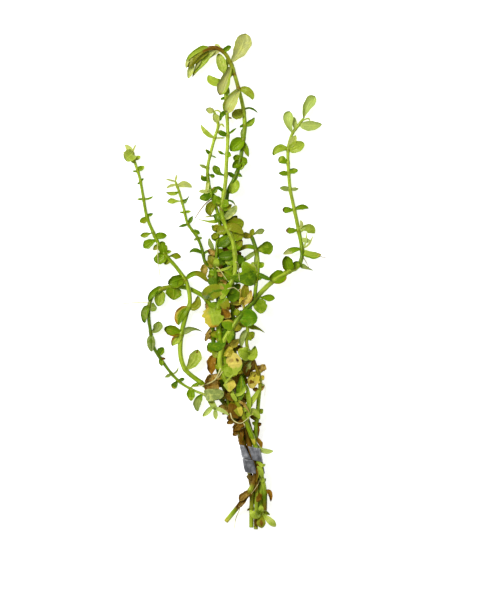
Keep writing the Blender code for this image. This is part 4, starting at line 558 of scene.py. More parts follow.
def fork_branch():
    route = [(1.5, 82.4, 10.4), (1.8, 85, 9.4), (2.2, 89, 8.6), (2.9, 94, 8.0), (2.8, 99, 7.5),
             (2, 104, 7.0), (0.8, 108, 6.5), (-0.5, 111.3, 6.2)]
    leaves = [
        leaf((-0.4, 111), (0.6, 114.6), 2.6, "oval", "olive", 0.4),
        leaf((-0.1, 110.4), (-5.8, 111.6), 3.2, "oval", "olive", 0.2),
        leaf((-0.3, 110.8), (6.3, 113.7), 3.2, "stalk", "grey", 0.2, (3, 113.4)),
        leaf((2, 104), (10.6, 105.6), 7.0, "fan", "mid", 0.6, twist=0,
             marks=(("right", "rust", 0.02), ("mottle", "light", 0.4))),
        leaf((2, 104), (-7.6, 102.7), 2.4, "long", "olive", 0.6, (-2.4, 107.8)),
        leaf((2.1, 103.4), (-6.2, 97.8), 2.4, "round", "grey", -0.4, (-0.4, 101)),
        leaf((2.3, 102.6), (1.7, 96.2), 2.0, "long", "grey", 1.0),
        leaf((2.6, 92), (0.2, 96.8), 2.2, "round", "pale", 0.8),
        leaf((2.5, 91.8), (-9.2, 87.6), 8.4, "oval", "dark", -0.4, (-3, 94), twist=0, vary=0.1,
             marks=(("mottle", "mid", 0.42), ("right", "mid", 0.25), ("tip", "olive", 0.06)),
             end=(-12, 90.6), bend=(-4.2, 89.4), over=12.2, shape="taper", broad=1.1, wave=0.6),
        leaf((2.5, 92), (9.4, 88.9), 2.2, "long", "dark", 1.0),
    ]
    bark = [
        ((1, 80), "stem_dark"), ((1.8, 85), "stem"), ((2.9, 94), "stem"), ((2.8, 99), "stem_light"), ((2, 104), "stem_dark"),
        ((-0.5, 111.3), "dark")]
    roots = []
    scraps = [
        leaf((2.6, 91), (-4.6, 98), 5.2, "oval", "mid", 0.6, (-1, 93.4), broad=1.2, over=10.4,
             marks=(("mottle", "olive", 0.45), ("right", "light", 0.12))),
        leaf((2.6, 91.4), (-2.4, 87.4), 4.6, "round", "olive", 0.4, marks=(("mottle", "light", 0.45),)),
    ]
    scraps += tuft((1.9, 86), (2.8, 98), 2, 4.0, ("mid", "dark", "light"), -0.8)
    joint = ((1.0, 79.6, 9.4), (1.3, 81, 9.9))
    return stem("fork_branch", route, (0.85, 0.95, 0.8), "leaf_green", bark, leaves, scraps, roots, joint)


def far_left_shoot():
    route = [(-0.4, -34.5, 3.6), (-0.2, -22, 4.4), (-0.1, -14, 4.7)] + through_tie(-1, 0) + [
        (-6.6, 15, 5.0), (-10.6, 23, 5.2), (-15.4, 29.6, 5.0), (-20, 33.6, 4.6), (-26.5, 38.6, 4.0),
        (-33, 44, 3.6), (-35.7, 51.5, 3.4), (-35.3, 61.5, 3.6), (-32.9, 71.5, 4.0), (-31, 78, 4.4),
        (-32.4, 87, 4.6), (-37.5, 95, 3.8), (-44.2, 102.8, 3.0), (-49, 112, 2.4), (-52.6, 121, 2.0),
        (-54.4, 131, 1.8), (-56.2, 140.5, 1.7), (-58.7, 148.5, 1.6), (-59.6, 153.6, 1.6)]
    leaves = [
        leaf((-59.6, 153.2), (-63.3, 156.6), 2.6, "oval", "pale", 0.2),
        leaf((-59.4, 152), (-62.9, 149.4), 5.0, "round", "light", 0.4, broad=1.25, end=(-62.6, 149), vary=0.1,
             wave=0.1, twist=0, over=3.6, marks=(("mottle", "pale", 0.4),)),
        leaf((-59.2, 151.4), (-59.3, 147.2), 3.0, "round", "light", 0.7),
        leaf((-58.8, 149.4), (-55.6, 150.8), 2.2, "round", "light", 0.2),
        leaf((-59.5, 153), (-58, 156.6), 1.0, "long", "pale", 0.3),
        leaf((-59.6, 152.8), (-64.6, 152.8), 0.8, "long", "pale", 0.2),
        leaf((-57.3, 144), (-53.6, 145.7), 2.7, "round", "mid", 0.4),
        leaf((-57, 143.2), (-59.6, 143.3), 1.0, "long", "mid", 0.2),
        leaf((-55.8, 138.4), (-54, 139.7), 1.2, "long", "dark", 0.2),
        leaf((-55.7, 138), (-57.2, 136.7), 0.9, "long", "dark", 0.2),
        leaf((-54.1, 129.4), (-57.4, 129.3), 1.1, "long", "mid", 0.2),
        leaf((-54.1, 129.4), (-49.4, 130.8), 1.1, "long", "mid", 0.2, (-51.4, 129.2)),
        leaf((-52.6, 121), (-49.3, 122.1), 1.8, "oval", "dark", 0.3),
        leaf((-52.3, 120), (-56.1, 117.9), 3.2, "round", "mid", 0.3),
        leaf((-49.3, 112.6), (-55.8, 111.1), 2.2, "stalk", "dark", 0.2, look="mid", broad=1.3),
        leaf((-48.6, 110.9), (-42.5, 111.2), 3.6, "round", "mid", 0.4),
        leaf((-47.6, 109), (-54.1, 106), 3.8, "fan", "mid", 0.2, broad=1.15, end=(-54.2, 105)),
        leaf((-43.6, 102), (-44.9, 107.7), 3.2, "oval", "mid", 1.0, broad=1.5, end=(-45.4, 107.8),
             marks=(("mottle", "dark", 0.4), ("rim", "olive", 0.1))),
        leaf((-43, 101.6), (-48.9, 99.4), 5.6, "round", "mid", 0.3, broad=1.1, end=(-49.2, 99.6), bend=(-45.6, 98.8)),
        leaf((-42, 100.4), (-35.4, 100.2), 2.6, "stalk", "olive", 0.2, broad=1.35, bend=(-38.6, 102.4),
             marks=(("mottle", "mid", 0.5), ("rim", "brown", 0.04))),
        leaf((-34.2, 90), (-42, 87.2), 6.2, "oval", "dark", 0.8, look="mid", broad=1.1,
             marks=(("rim", "olive", 0.1), ("mottle", "bright", 0.4))),
        leaf((-33, 88.4), (-37.4, 86.6), 3.0, "round", "mid", 1.2),
        leaf((-33.4, 88.8), (-22, 87.9), 2.8, "long", "olive", 0.6, (-27.4, 96)),
        leaf((-31.5, 75.6), (-36.6, 66.4), 5.2, "oval", "mid", 0.4, (-37, 73),
             marks=(("right", "yellow", 0.34), ("right", "rust", 0.20), ("patch", "brown", 0.16, 0.4, 0.9))),
        leaf((-31.6, 75), (-27.1, 81.2), 4.4, "round", "olive", 0.4, (-26.2, 75),
             marks=(("right", "brown", 0.06), ("mottle", "mid", 0.4))),
        leaf((-35.2, 61.8), (-43.9, 64.4), 5.0, "round", "mid", 0.4, (-40, 64.4), broad=1.15,
             marks=(("mottle", "olive", 0.40), ("tip", "brown", 0.05), ("left", "rust", 0.14))),
        leaf((-35.2, 61.4), (-40, 56.1), 3.4, "oval", "brown", 0.3, (-38.4, 60.4), look="light", broad=1.35,
             marks=(("right", "rust", 0.3), ("base", "tan", 0.2), ("tip", "brown", 0.1))),
        leaf((-35.2, 61.6), (-24.7, 63.1), 3.2, "taper", "grey", 0.3, (-30.4, 66.6)),
        leaf((-33.4, 44.4), (-27, 54.4), 6.6, "fan", "light", 0.4, (-28.6, 46.6), twist=0,
             marks=(("mottle", "pale", 0.42), ("patch", "brown", 0.05, 0.93, 0.0))),
        leaf((-25.4, 37.8), (-30.6, 35.5), 1.9, "oval", "mid", 0.2),
        leaf((-20.6, 34), (-23.6, 36), 3.2, "round", "brown", 0.8),
        leaf((-12.4, 25.6), (-16.8, 25.6), 3.6, "oval", "tan", 0.8),
        leaf((-8.6, 19.2), (-12.6, 17.4), 2.8, "round", "brown", 0.6),
        leaf((-1.2, -24.8), (-2.5, -26), 1.6, "oval", "brown", 0.4),
    ]
    bark = [
        ((-0.4, -34.5), "stem_light"), ((-0.1, -22), "olive"), ((-0.1, -14), "olive"), ((-1, -9), "umber"),
        ((-6.6, 15), "umber"), ((-12, 25), "brown"),
        ((-15.4, 29.6), "stem_dark"), ((-26.5, 38.6), "stem"), ((-35.7, 51.5), "stem_light"), ((-32.9, 71.5), "stem"),
        ((-31, 79), "stem_light"), ((-37.5, 95), "stem"), ((-49, 112), "stem"), ((-54.4, 131), "stem"),
        ((-59.6, 153.6), "stem_light")]
    roots = [
        ([(-47.2, 108.4), (-46.8, 97.5), (-46.3, 94), (-46, 91), (-44, 89), (-42.3, 88.5)], 0.2, "root"),
        ([(-11, 23.6), (-9.6, 19.6), (-6, 17.8), (-3, 19.5), (-0.5, 22)], 0.34, "root")]
    scraps = [leaf((-18.8, 32.6), (-21.2, 42.2), 7.4, "round", "tan", 2.8, twist=0,
                   marks=(("base", "olive", 0.26), ("mottle", "rust", 0.48), ("mottle", "brown", 0.36)))]
    scraps += [
        leaf((-5.6, 13), (-1.8, 5.6), 3.2, "long", "umber", 0.6, over=8.2),
        leaf((-5.6, 13), (-4.4, 5.8), 2.6, "long", "brown", 0.6, over=7.6),
        leaf((0, -8), (0.6, -15), 2.6, "long", "umber", 0.6, over=7.0),
    ]
    scraps += tuft((-6.8, 16), (-11, 24), 1, 3.6, ("brown", "umber", "olive"), -0.3)
    scraps += tuft((-48, 109), (-42, 101), 2, 4.2, ("mid", "olive", "mid"), 0.2)
    scraps += [leaf((-41.8, 100.2), (-43.4, 96.6), 3.6, "round", "olive", 0.2, marks=(("mottle", "mid", 0.5),))]
    return stem("far_left_shoot", route, (1.0, 1.1, 0.55), "leaf_green", bark, leaves, scraps, roots)


def short_left_shoot():
    route = [(3.9, -27, 1.6), (3.7, -20, 1.7), (3.2, -14, 1.9)] + through_tie(0, -1) + [
        (-5, 19, 2.0), (-9.4, 34, 1.8), (-12.4, 50, 1.8), (-14, 66, 1.9), (-15.2, 80, 2.2),
        (-17, 90, 2.6), (-20.4, 94.4, 3.0), (-23.6, 98.4, 3.0), (-24.7, 103.4, 2.9), (-27.2, 110, 2.6),
        (-32, 117, 2.2), (-33.8, 123.5, 2.0), (-35.9, 131.5, 1.8), (-38.4, 138.6, 1.8)]
    leaves = [
        leaf((-38.3, 138.2), (-43.1, 139.4), 1.0, "long", "pale", 0.3),
        leaf((-38.3, 138.2), (-37.4, 141.6), 1.1, "long", "pale", 0.3),
        leaf((-37.6, 136.4), (-42.8, 134.7), 1.5, "oval", "pale", 0.2, (-40.4, 136.6)),
        leaf((-37.3, 135.4), (-30, 135.2), 3.4, "oval", "pale", 0.5, (-34, 138.4)),
        leaf((-36.6, 133), (-42.9, 132.8), 2.1, "oval", "light", 0.2, (-39.6, 131.4)),
        leaf((-35.1, 128.3), (-42.4, 128.2), 2.9, "stalk", "light", 0.2),
        leaf((-35, 128), (-31.2, 131.2), 2.2, "taper", "dark", 0.3, (-33, 128.2)),
        leaf((-33.8, 122.8), (-30.4, 123.3), 1.6, "oval", "mid", 0.3),
        leaf((-33.7, 122.6), (-36.3, 122.9), 1.1, "oval", "mid", 0.2),
        leaf((-32, 116.9), (-29.5, 120.9), 2.2, "oval", "dark", 0.4),
        leaf((-32, 116.7), (-36.6, 115.5), 1.5, "oval", "dark", 0.2),
        leaf((-29.6, 113.6), (-26, 112.2), 2.6, "round", "dark", 0.5),
        leaf((-27, 109.8), (-29, 108.8), 1.5, "round", "grey", 0.3),
        leaf((-27, 109.8), (-24.8, 110), 1.4, "round", "dark", 0.3),
        leaf((-24.6, 101.6), (-31.3, 102.6), 2.2, "oval", "dark", 0.4, (-28.2, 105.8)),
        leaf((-24.6, 101.6), (-18.4, 101.2), 1.6, "long", "dark", 0.2, (-21.4, 105.4)),
        leaf((-23.2, 97.8), (-17.8, 96.2), 4.0, "round", "rust", 0.6, look="olive",
             marks=(("mottle", "tan", 0.45), ("mottle", "brown", 0.36))),
        leaf((-22.8, 97), (-22.8, 91), 2.6, "oval", "tan", 0.8, (-25, 94), broad=1.5,
             marks=(("mottle", "olive", 0.50), ("mottle", "brown", 0.36))),
        leaf((-19.8, 93.8), (-20.6, 87.8), 3.4, "round", "olive", 0.8),
        leaf((-15, 78), (-11.4, 77.2), 3.4, "round", "yellow", 0.4),
        leaf((-13.8, 64), (-17.6, 61), 3.4, "round", "brown", 0.4),
        leaf((-9, 32), (-5, 30), 2.6, "round", "brown", 0.4),
        leaf((4.1, -26), (-0.6, -26.4), 3.2, "round", "light", 2.6, over=9.4, broad=1.2, twist=0, shape="long",
             end=(-1.2, -25.4), bend=(2.2, -29.6), point=0.5),
        leaf((4.2, -26.6), (5, -24), 2.0, "round", "light", 1.6, over=10.2, broad=1.25, end=(4.3, -23.2),
             bend=(4.8, -26), shape="long", point=0.3),
        leaf((4.2, -26.6), (11.8, -33.6), 3.0, "fan", "light", 1.2, (8, -29.6), over=8.0, broad=1.1,
             marks=(("mottle", "pale", 0.5),)),
        leaf((4.2, -26.6), (8.8, -27), 1.7, "oval", "mid", 2.0, look="olive", end=(9, -28.2), broad=1.2),
        leaf((4.2, -26.6), (4.9, -34.4), 4.2, "fan", "olive", 1.8, over=7.6, marks=(("patch", "brown", 0.2, 0.7, 0.0),)),
    ]
    bark = [
        ((3.9, -27), "olive"), ((3.2, -14), "brown"), ((-5, 19), "umber"), ((-12.4, 50), "brown"),
        ((-14, 66), "stem_dark"), ((-24.7, 103.4), "stem_dark"), ((-32, 117), "stem"), ((-38.4, 138.6), "stem_light")]
    roots = []
    scraps = [
        leaf((-5, 18), (-1.6, 7), 3.0, "long", "umber", 0.3),
        leaf((3.3, -13), (1, -22.6), 2.4, "long", "umber", 0.3, look="olive", broad=1.2, marks=(("mottle", "brown", 0.42),)),
        leaf((3.6, -18), (4, -27), 2.6, "long", "brown", 0.3, look="olive", marks=(("mottle", "mid", 0.5),)),
    ]
    scraps += tuft((-5, 19), (-11, 42), 4, 4.6, ("brown", "umber", "tan", "olive"), -0.3)
    scraps += tuft((-12.6, 50), (-14.8, 76), 4, 5.0, ("brown", "olive", "tan", "dark"), 0)
    scraps += tuft((-15.6, 82), (-19.8, 93), 2, 4.6, ("tan", "olive", "mid"), 0)
    return stem("short_left_shoot", route, (1.0, 0.9, 0.5), "dark_green", bark, leaves, scraps, roots)


def drooping_shoot():
    route = [(1.2, -23, 1.8), (0.7, -14, 2.0)] + through_tie(-1, -1) + [
        (-7, 18, 2.3), (-11.6, 29, 2.4), (-16, 41, 2.7), (-18.6, 52, 3.2), (-19.6, 64, 3.4),
        (-20, 74, 2.8), (-23.4, 80, 2.1), (-29, 83.6, 1.5), (-34, 85.4, 1.4), (-40, 85.6, 1.5),
        (-46, 84, 1.7), (-50.4, 79.6, 1.8), (-51.6, 72, 1.8), (-50.8, 64, 1.7), (-49, 55.4, 1.7),
        (-45.4, 49.4, 1.7), (-40.4, 42.4, 1.7), (-35, 37.2, 1.7), (-28.8, 33.8, 1.8), (-23, 31.2, 2.0),
        (-20, 27.6, 2.2), (-18.2, 24.2, 2.3)]
    leaves = [
        leaf((-22.6, 79), (-14.2, 83.6), 6.6, "round", "olive", 4.0, (-21, 84.4), over=11.8, broad=1.15, twist=0,
             marks=(("mottle", "mid", 0.45), ("tip", "tan", 0.10), ("midrib", "dark", 0.2))),
        leaf((-20.4, 76), (-18, 65.6), 8.8, "round", "yellow", 5.2, over=12.2, broad=1.05, twist=0, vary=0.1,
             torn=0.55, wave=0.8, look="light", marks=(("mottle", "mid", 0.42), ("right", "yellow", 0.34),
                                                       ("tip", "rust", 0.10))),
        leaf((-22.4, 78.6), (-22.8, 74.2), 1.9, "long", "tan", 0.6),
        leaf((-19.6, 66), (-23.4, 58.4), 3.2, "oval", "tan", 0.8),
        leaf((-18.6, 52), (-20.4, 42.6), 4.2, "oval", "brown", 0.6, (-22.4, 47), look="rust", broad=1.2,
             bend=(-21.4, 47), end=(-20, 41.8), marks=(("mottle", "brown", 0.50),)),
        leaf((-15.6, 40), (-23.4, 33.4), 4.4, "round", "brown", 0.2, look="rust", marks=(("mottle", "olive", 0.4),)),
        leaf((-12.6, 31.6), (-16.6, 29.6), 3.4, "round", "tan", 0.4),
        leaf((-38.6, 85.6), (-39.3, 78.9), 7.6, "round", "mid", 0.6, marks=(("mottle", "olive", 0.46),), broad=1.08),
        leaf((-45.6, 84.2), (-46.8, 75.8), 5.4, "round", "light", 0.5, marks=(("mottle", "mid", 0.40), ("rim", "mid", 0.12))),
        leaf((-44, 84.8), (-51.8, 78.6), 3.4, "long", "mid", 1.2, (-49, 84)),
        leaf((-51.4, 76.4), (-53.6, 68.4), 4.4, "oval", "mid", 0.4, (-55.2, 73), broad=0.9, bend=(-54.4, 73.6),
             end=(-53.6, 67.4), marks=(("mottle", "grey", 0.45), ("tip", "dark", 0.15))),
        leaf((-51.4, 76), (-47.8, 73.2), 4.2, "round", "mid", 0.4, look="grey", broad=1.1, end=(-47.4, 75.4)),
        leaf((-50.7, 63), (-46.7, 68.4), 4.6, "round", "grey", 0.5, (-46.4, 63.6), shape="fan",
             marks=(("mottle", "mid", 0.42),)),
        leaf((-50.5, 62), (-50.2, 53.2), 4.2, "oval", "grey", 0.9, marks=(("mottle", "dark", 0.44), ("midrib", "dark", 0.2))),
        leaf((-46.8, 51.4), (-44.2, 55.4), 3.7, "round", "dark", 0.6),
        leaf((-45.8, 50), (-43, 49.6), 1.5, "round", "brown", 0.5),
        leaf((-45.6, 49.8), (-45.1, 46), 2.5, "round", "mid", 0.6),
        leaf((-40.2, 42.2), (-43.6, 40.3), 1.7, "oval", "grey", 0.2),
        leaf((-40.2, 42.2), (-36.8, 45.6), 1.0, "long", "grey", 0.3, (-37.4, 42)),
        leaf((-37, 38.9), (-39.7, 34.8), 3.2, "fan", "dark", 0.3),
        leaf((-36.6, 38.5), (-33.6, 39.7), 2.0, "oval", "dark", 0.3),
        leaf((-30.9, 34.8), (-30.4, 28.5), 4.1, "round", "mid", 0.4),
        leaf((-24.6, 31.9), (-26.8, 23.4), 4.1, "oval", "grey", 0.4, (-29, 28)),
        leaf((-23.4, 31.4), (-14.5, 32.4), 5.6, "round", "grey", 1.4, over=11.9, twist=0, vary=0.1, broad=1.12,
             marks=(("mottle", "pale", 0.45),)),
        leaf((-21.6, 29.6), (-18.6, 25), 3.4, "round", "pale", 1.0, look="fresh", over=8.0),
        leaf((-19.4, 26.4), (-24.7, 20.8), 2.6, "oval", "pale", 0.4, look="fresh"),
        leaf((-18.4, 24.6), (-18, 19.2), 2.3, "oval", "pale", 0.5, look="fresh"),
        leaf((-18.6, 25), (-11.4, 21.6), 2.0, "oval", "pale", 0.4, (-15, 25), look="fresh", over=11.9),
    ]
    bark = [
        ((1.2, -23), "brown"), ((-7, 18), "umber"), ((-16, 41), "stem_dark"), ((-19.6, 64), "stem_dark"),
        ((-23.4, 80), "stem"), ((-34, 85.4), "stem"), ((-46, 84), "olive"), ((-51.6, 72), "stem_dark"),
        ((-45.4, 49.4), "stem_dark"), ((-35, 37.2), "stem"), ((-28.8, 33.8), "light"), ((-18.2, 24.2), "pale")]
    roots = [([(-51.4, 77.6), (-56, 77.9), (-62, 77.4), (-67.2, 77)], 0.22, "root")]
    scraps = [
        leaf((-7, 18), (-4.4, 7), 3.0, "long", "umber", 0.3),
        leaf((-7.4, 19), (-9.2, 12.6), 2.4, "oval", "brown", 0.6),
        leaf((0.6, -13), (-1.6, -9), 2.0, "oval", "umber", 0.6),
    ]
    scraps += tuft((-7.4, 19), (-15, 39), 4, 4.2, ("brown", "rust", "tan", "umber"), 0)
    scraps += tuft((-17, 44), (-19.4, 62), 3, 4.6, ("tan", "brown", "olive", "mid"), -0.2)
    return stem("drooping_shoot", route, (1.0, 1.05, 0.5), "dark_green", bark, leaves, scraps, roots)


def short_right_shoot():
    route = [(4.5, -29, 3.7), (4.7, -20, 4.0), (4.6, -13, 4.5)] + through_tie(1, 0) + [
        (1.8, 14, 5.0), (2.7, 22, 5.2), (3.4, 31, 5.5), (4.1, 37, 5.7), (3.2, 42.4, 5.9), (0.7, 48.6, 6.1),
        (-1.6, 53, 6.3), (-2.7, 58, 6.4), (-2.2, 64, 6.4), (-3.2, 71, 6.0), (-4.6, 78, 5.6)]
    leaves = [
        leaf((-4.4, 77.4), (-11.6, 77.4), 2.3, "oval", "yellow", 0.8),
        leaf((-4.4, 77), (-6, 84.4), 3.6, "round", "cream", 0.2, look="tan", broad=1.3,
             marks=(("mottle", "cream", 0.55), ("rim", "rust", 0.2))),
        leaf((-2.3, 65.6), (6.4, 62.6), 2.6, "taper", "olive", 0.4, (2.6, 66)),
        leaf((-2.3, 64.4), (-5.6, 57), 2.6, "oval", "grey", 0.6, (-5.6, 61), broad=1.3, end=(-5.4, 55.6)),
        leaf((-2.6, 61.6), (-0.3, 58.8), 2.4, "round", "olive", 0.3),
        leaf((-2.6, 59.6), (-12.6, 54), 3.6, "stalk", "yellow", 0.4, (-7.4, 59.6)),
        leaf((-1.4, 52.4), (1.9, 54.8), 4.0, "round", "light", 0.6, broad=1.35, over=9.4, bend=(1.0, 50.6),
             end=(1.6, 55.8), point=0.4, marks=(("mottle", "mid", 0.35),)),
        leaf((-1, 51.8), (-6.6, 53), 4.4, "round", "light", 0.8, broad=1.4, over=9.6, end=(-6.8, 54.4), point=0.4,
             marks=(("mottle", "mid", 0.44), ("tip", "yellow", 0.06))),
        leaf((0.7, 48.6), (-1.8, 40.4), 3.8, "oval", "brown", 0.4, (-4, 46), broad=1.3,
             marks=(("left", "umber", 0.3), ("patch", "grey", 0.16, 0.4, -0.4))),
        leaf((3.2, 42.4), (5.9, 46.2), 3.6, "fan", "rust", 0.4, look="tan", broad=1.2, end=(6.3, 47)),
        leaf((2.8, 43.2), (0.2, 34.8), 4.4, "round", "yellow", 0.8, (-0.6, 40), broad=1.35,
             marks=(("tip", "cream", 0.45), ("patch", "umber", 0.11, 0.25, 0.1),
                    ("patch", "brown", 0.14, 0.66, 0.2))),
        leaf((4, 37.4), (6.4, 36.4), 0.9, "long", "grey", 0.2),
        leaf((2.4, 19), (-1.6, 24), 2.8, "round", "brown", 0.4),
        leaf((0.6, 11), (4.7, 5.4), 2.2, "oval", "brown", 0.2, (4, 9), look="rust", bend=(4.6, 8), end=(4.8, 4.8)),
        leaf((1, 10.4), (10.4, 3.8), 2.2, "long", "pale", 0.4, (4.4, 5), twist=0, bend=(2.2, 2.4), end=(10.7, 3.8),
             look="fresh", shape="fan", point=0, broad=1.1, marks=(("base", "mid", 0.40),)),
        leaf((4.6, -12.6), (6.9, -9.8), 1.8, "oval", "light", 0.6),
        leaf((4.8, -17), (2.3, -21.6), 2.2, "long", "brown", 1.4),
    ]
    bark = [
        ((4.5, -29), "brown"), ((4.7, -24), "stem"), ((4.6, -13), "stem_light"), ((1.8, 14), "stem"),
        ((3.4, 31), "stem_light"), ((4.1, 37), "olive"), ((0.7, 48.6), "brown"), ((-1.6, 53), "olive"),
        ((-2.2, 64), "stem_light"), ((-4.6, 78), "yellow")]
    roots = [
        ([(4, 38.6), (6.4, 36.4), (6.4, 31)], 0.13, "root"),
        ([(4.4, -9), (2.5, -13.5), (-0.5, -17.5)], 0.2, "root")]
    scraps = [
        leaf((1.4, 15), (-1.4, 5.4), 2.6, "long", "brown", -0.8),
        leaf((2, 19), (1.8, 8), 2.0, "long", "brown", -1.4, (3.2, 13)),
        leaf((4.4, -7), (2.4, -15), 2.6, "long", "brown", -0.4, look="olive", marks=(("mottle", "rust", 0.45),)),
        leaf((4.4, -7.4), (4.6, -18), 2.0, "long", "olive", -1.0),
        leaf((4.6, -12), (3.6, -25), 2.2, "long", "brown", -1.4, look="mid"),
    ]
    scraps += [
        leaf((-4.5, 77.6), (-3, 87.2), 4.8, "oval", "olive", 1.6, over=9.8,
             marks=(("mottle", "brown", 0.40), ("left", "cream", 0.14))),
        leaf((-4.4, 77.2), (-0.6, 83.6), 3.4, "oval", "cream", 1.6, (-0.6, 79), over=10.4,
             marks=(("right", "rust", 0.2), ("mottle", "tan", 0.45))),
        leaf((-0.6, 51), (-5, 41.8), 3.8, "long", "olive", 0.4, (-4, 47.6), look="grey", broad=1.3,
             marks=(("mottle", "olive", 0.5), ("right", "umber", 0.2))),
        leaf((0.2, 49.4), (-2.6, 40.6), 3.4, "long", "brown", 0.2, look="umber", broad=1.2),
    ]
    scraps += tuft((1.6, 13), (2.9, 26), 2, 3.6, ("brown", "olive", "light"), -0.4)
    scraps += tuft((3.4, 31), (1.2, 47), 3, 4.0, ("yellow", "brown", "tan"), -0.2)
    scraps += tuft((-2.2, 56), (-4.2, 76), 3, 4.6, ("mid", "yellow", "olive", "light"), -0.4)
    return stem("short_right_shoot", route, (1.0, 0.9, 0.6), "olive_green", bark, leaves, scraps, roots)


def bare_stem():
    route = through_tie(-1, 1) + [(-6.4, 14, 7.6), (-10.2, 23.5, 7.8), (-12.8, 31, 7.8)]
    leaves = [
        leaf((-12.4, 30), (-16.6, 33.6), 3.0, "round", "brown", 0.6),
        leaf((-10.6, 24.6), (-14.8, 22), 3.0, "round", "tan", 0.6),
        leaf((-6.6, 14.4), (-9.6, 11.6), 2.6, "round", "brown", 0.6),
    ]
    bark = [
        ((-3, 7), "umber"), ((-4.4, 9.5), "stem"), ((-7, 15), "stem"), ((-8, 17.4), "brown"),
        ((-9.4, 20.6), "stem_dark"), ((-12, 27), "stem_dark"), ((-12.8, 31), "umber")]
    roots = []
    scraps = []
    return stem("bare_stem", route, (1.0, 0.95, 0.8), "old_brown", bark, leaves, scraps, roots)


def stem(name, route, radii, slot, bark, leaves, scraps=(), roots=(), joint=()):
    """One shoot: its line coarse and fine, its radii, its bark colours, its leaves and its roots."""
    line = smooth_line(route)
    fine = [Vector((point[0], point[1], min(point[2], STEM_CEILING))) for point in (*joint, *line)]
    return {"name": name, "fine": fine, "line": thinned(line), "radii": radii, "slot": slot,
            "bark": bark, "leaves": leaves, "scraps": scraps, "roots": roots}


def smooth_line(route):
    """Points along a smooth curve through the route's points."""
    points = [Vector(p) for p in route]
    points = [points[0] * 2 - points[1]] + points + [points[-1] * 2 - points[-2]]
    fine = []
    for i in range(1, len(points) - 2):
        before, start, end, after = points[i - 1:i + 3]
        steps = max(4, math.ceil((end - start).length))
        for j in range(steps):
            t = j / steps
            fine.append(0.5 * (2 * start + (end - before) * t
                               + (2 * before - 5 * start + 4 * end - after) * t ** 2
                               + (3 * start - before - 3 * end + after) * t ** 3))
    fine.append(points[-2])
    return fine


def thinned(fine):
    """The points of a line where its solid has a ring: closer together where it bends."""
    line = [fine[0]]
    last = 0
    for i in range(1, len(fine) - 1):
        turned = (fine[last + 1] - fine[last]).angle(fine[i + 1] - fine[i])
        if turned > RING_TURN or (fine[i] - line[-1]).length > FURTHEST_RINGS:
            line.append(fine[i])
            last = i
    if (fine[-1] - line[-1]).length < SHORTEST_RINGS:
        line.pop()
    return line + [fine[-1]]


def radius_at(shoot, share):
    """Stem radius at a share of its length, through its foot, middle and tip radii."""
    foot, middle, tip = shoot["radii"]
    if share < 0.5:
        return foot + (middle - foot) * share * 2
    return middle + (tip - middle) * (share - 0.5) * 2


def tube(points, radii, sides):
    """Corners and faces of a closed tube: a ring at each point, square to the line."""
    corners = []
    faces = []
    across = Vector((1, 0, 0))
    for i, (point, radius) in enumerate(zip(points, radii)):
        ahead = points[min(i + 1, len(points) - 1)] - points[max(i - 1, 0)]
        ahead.normalize()
        across = (across - ahead * across.dot(ahead)).normalized()
        up = ahead.cross(across)
        for side in range(sides):
            angle = math.tau * side / sides
            corners.append(point + (across * math.cos(angle) + up * math.sin(angle)) * radius)
    for i in range(len(points) - 1):
        for side in range(sides):
            a = i * sides + side
            b = i * sides + (side + 1) % sides
            faces.append((a, b, b + sides, a + sides))
    faces.append(tuple(reversed(range(sides))))
    last = (len(points) - 1) * sides
    faces.append(tuple(range(last, last + sides)))
    return corners, faces


def stem_solid(shoot):
    """The stem as its solid has it."""
    line = shoot["line"]
    radii = [radius_at(shoot, i / (len(line) - 1)) for i in range(len(line))]
    return tube(line, radii, STEM_SIDES)


def nearest_on(line, place):
    """The point of a line nearest to a place seen from above, and its share of the line's points."""
    best = None
    for i in range(len(line) - 1):
        start, end = line[i], line[i + 1]
        run = (end - start).to_2d()
        share = (Vector(place) - start.to_2d()).dot(run) / max(run.length_squared, 1e-9)
        share = min(max(share, 0.0), 1.0)
        point = start.lerp(end, share)
        away = (point.to_2d() - Vector(place)).length
        if best is None or away < best[0]:
            best = (away, point, (i + share) / (len(line) - 1))
    return best[1], best[2]


def leaf_line(shoot, item, extra_height):
    """Root, bend and tip of a leaf, and the stem's radius at its root."""
    root, share = nearest_on(shoot["line"], item["base"])
    tip = Vector((*item["tip"], max(root.z + item["rise"] + extra_height, 0.0)))
    if item["via"]:
        bend = Vector((*item["via"], 0.0))
    else:
        bend = root.lerp(tip, 0.5)
    bend.z = root.z + (tip.z - root.z) * BEND_HEIGHT
    return root, bend, tip, radius_at(shoot, share)


def leaf_frame(root, bend, tip, t, roll):
    """Point, side and up of a leaf at a share of its length."""
    point = root * (1 - t) ** 2 + bend * 2 * t * (1 - t) + tip * t ** 2
    ahead = ((bend - root) * (1 - t) + (tip - bend) * t).normalized()
    side = ahead.cross(Vector((0, 0, 1))).normalized()
    side.rotate(Matrix.Rotation(math.radians(roll) * min(1.0, t * 2), 3, ahead))
    return point, side, side.cross(ahead)


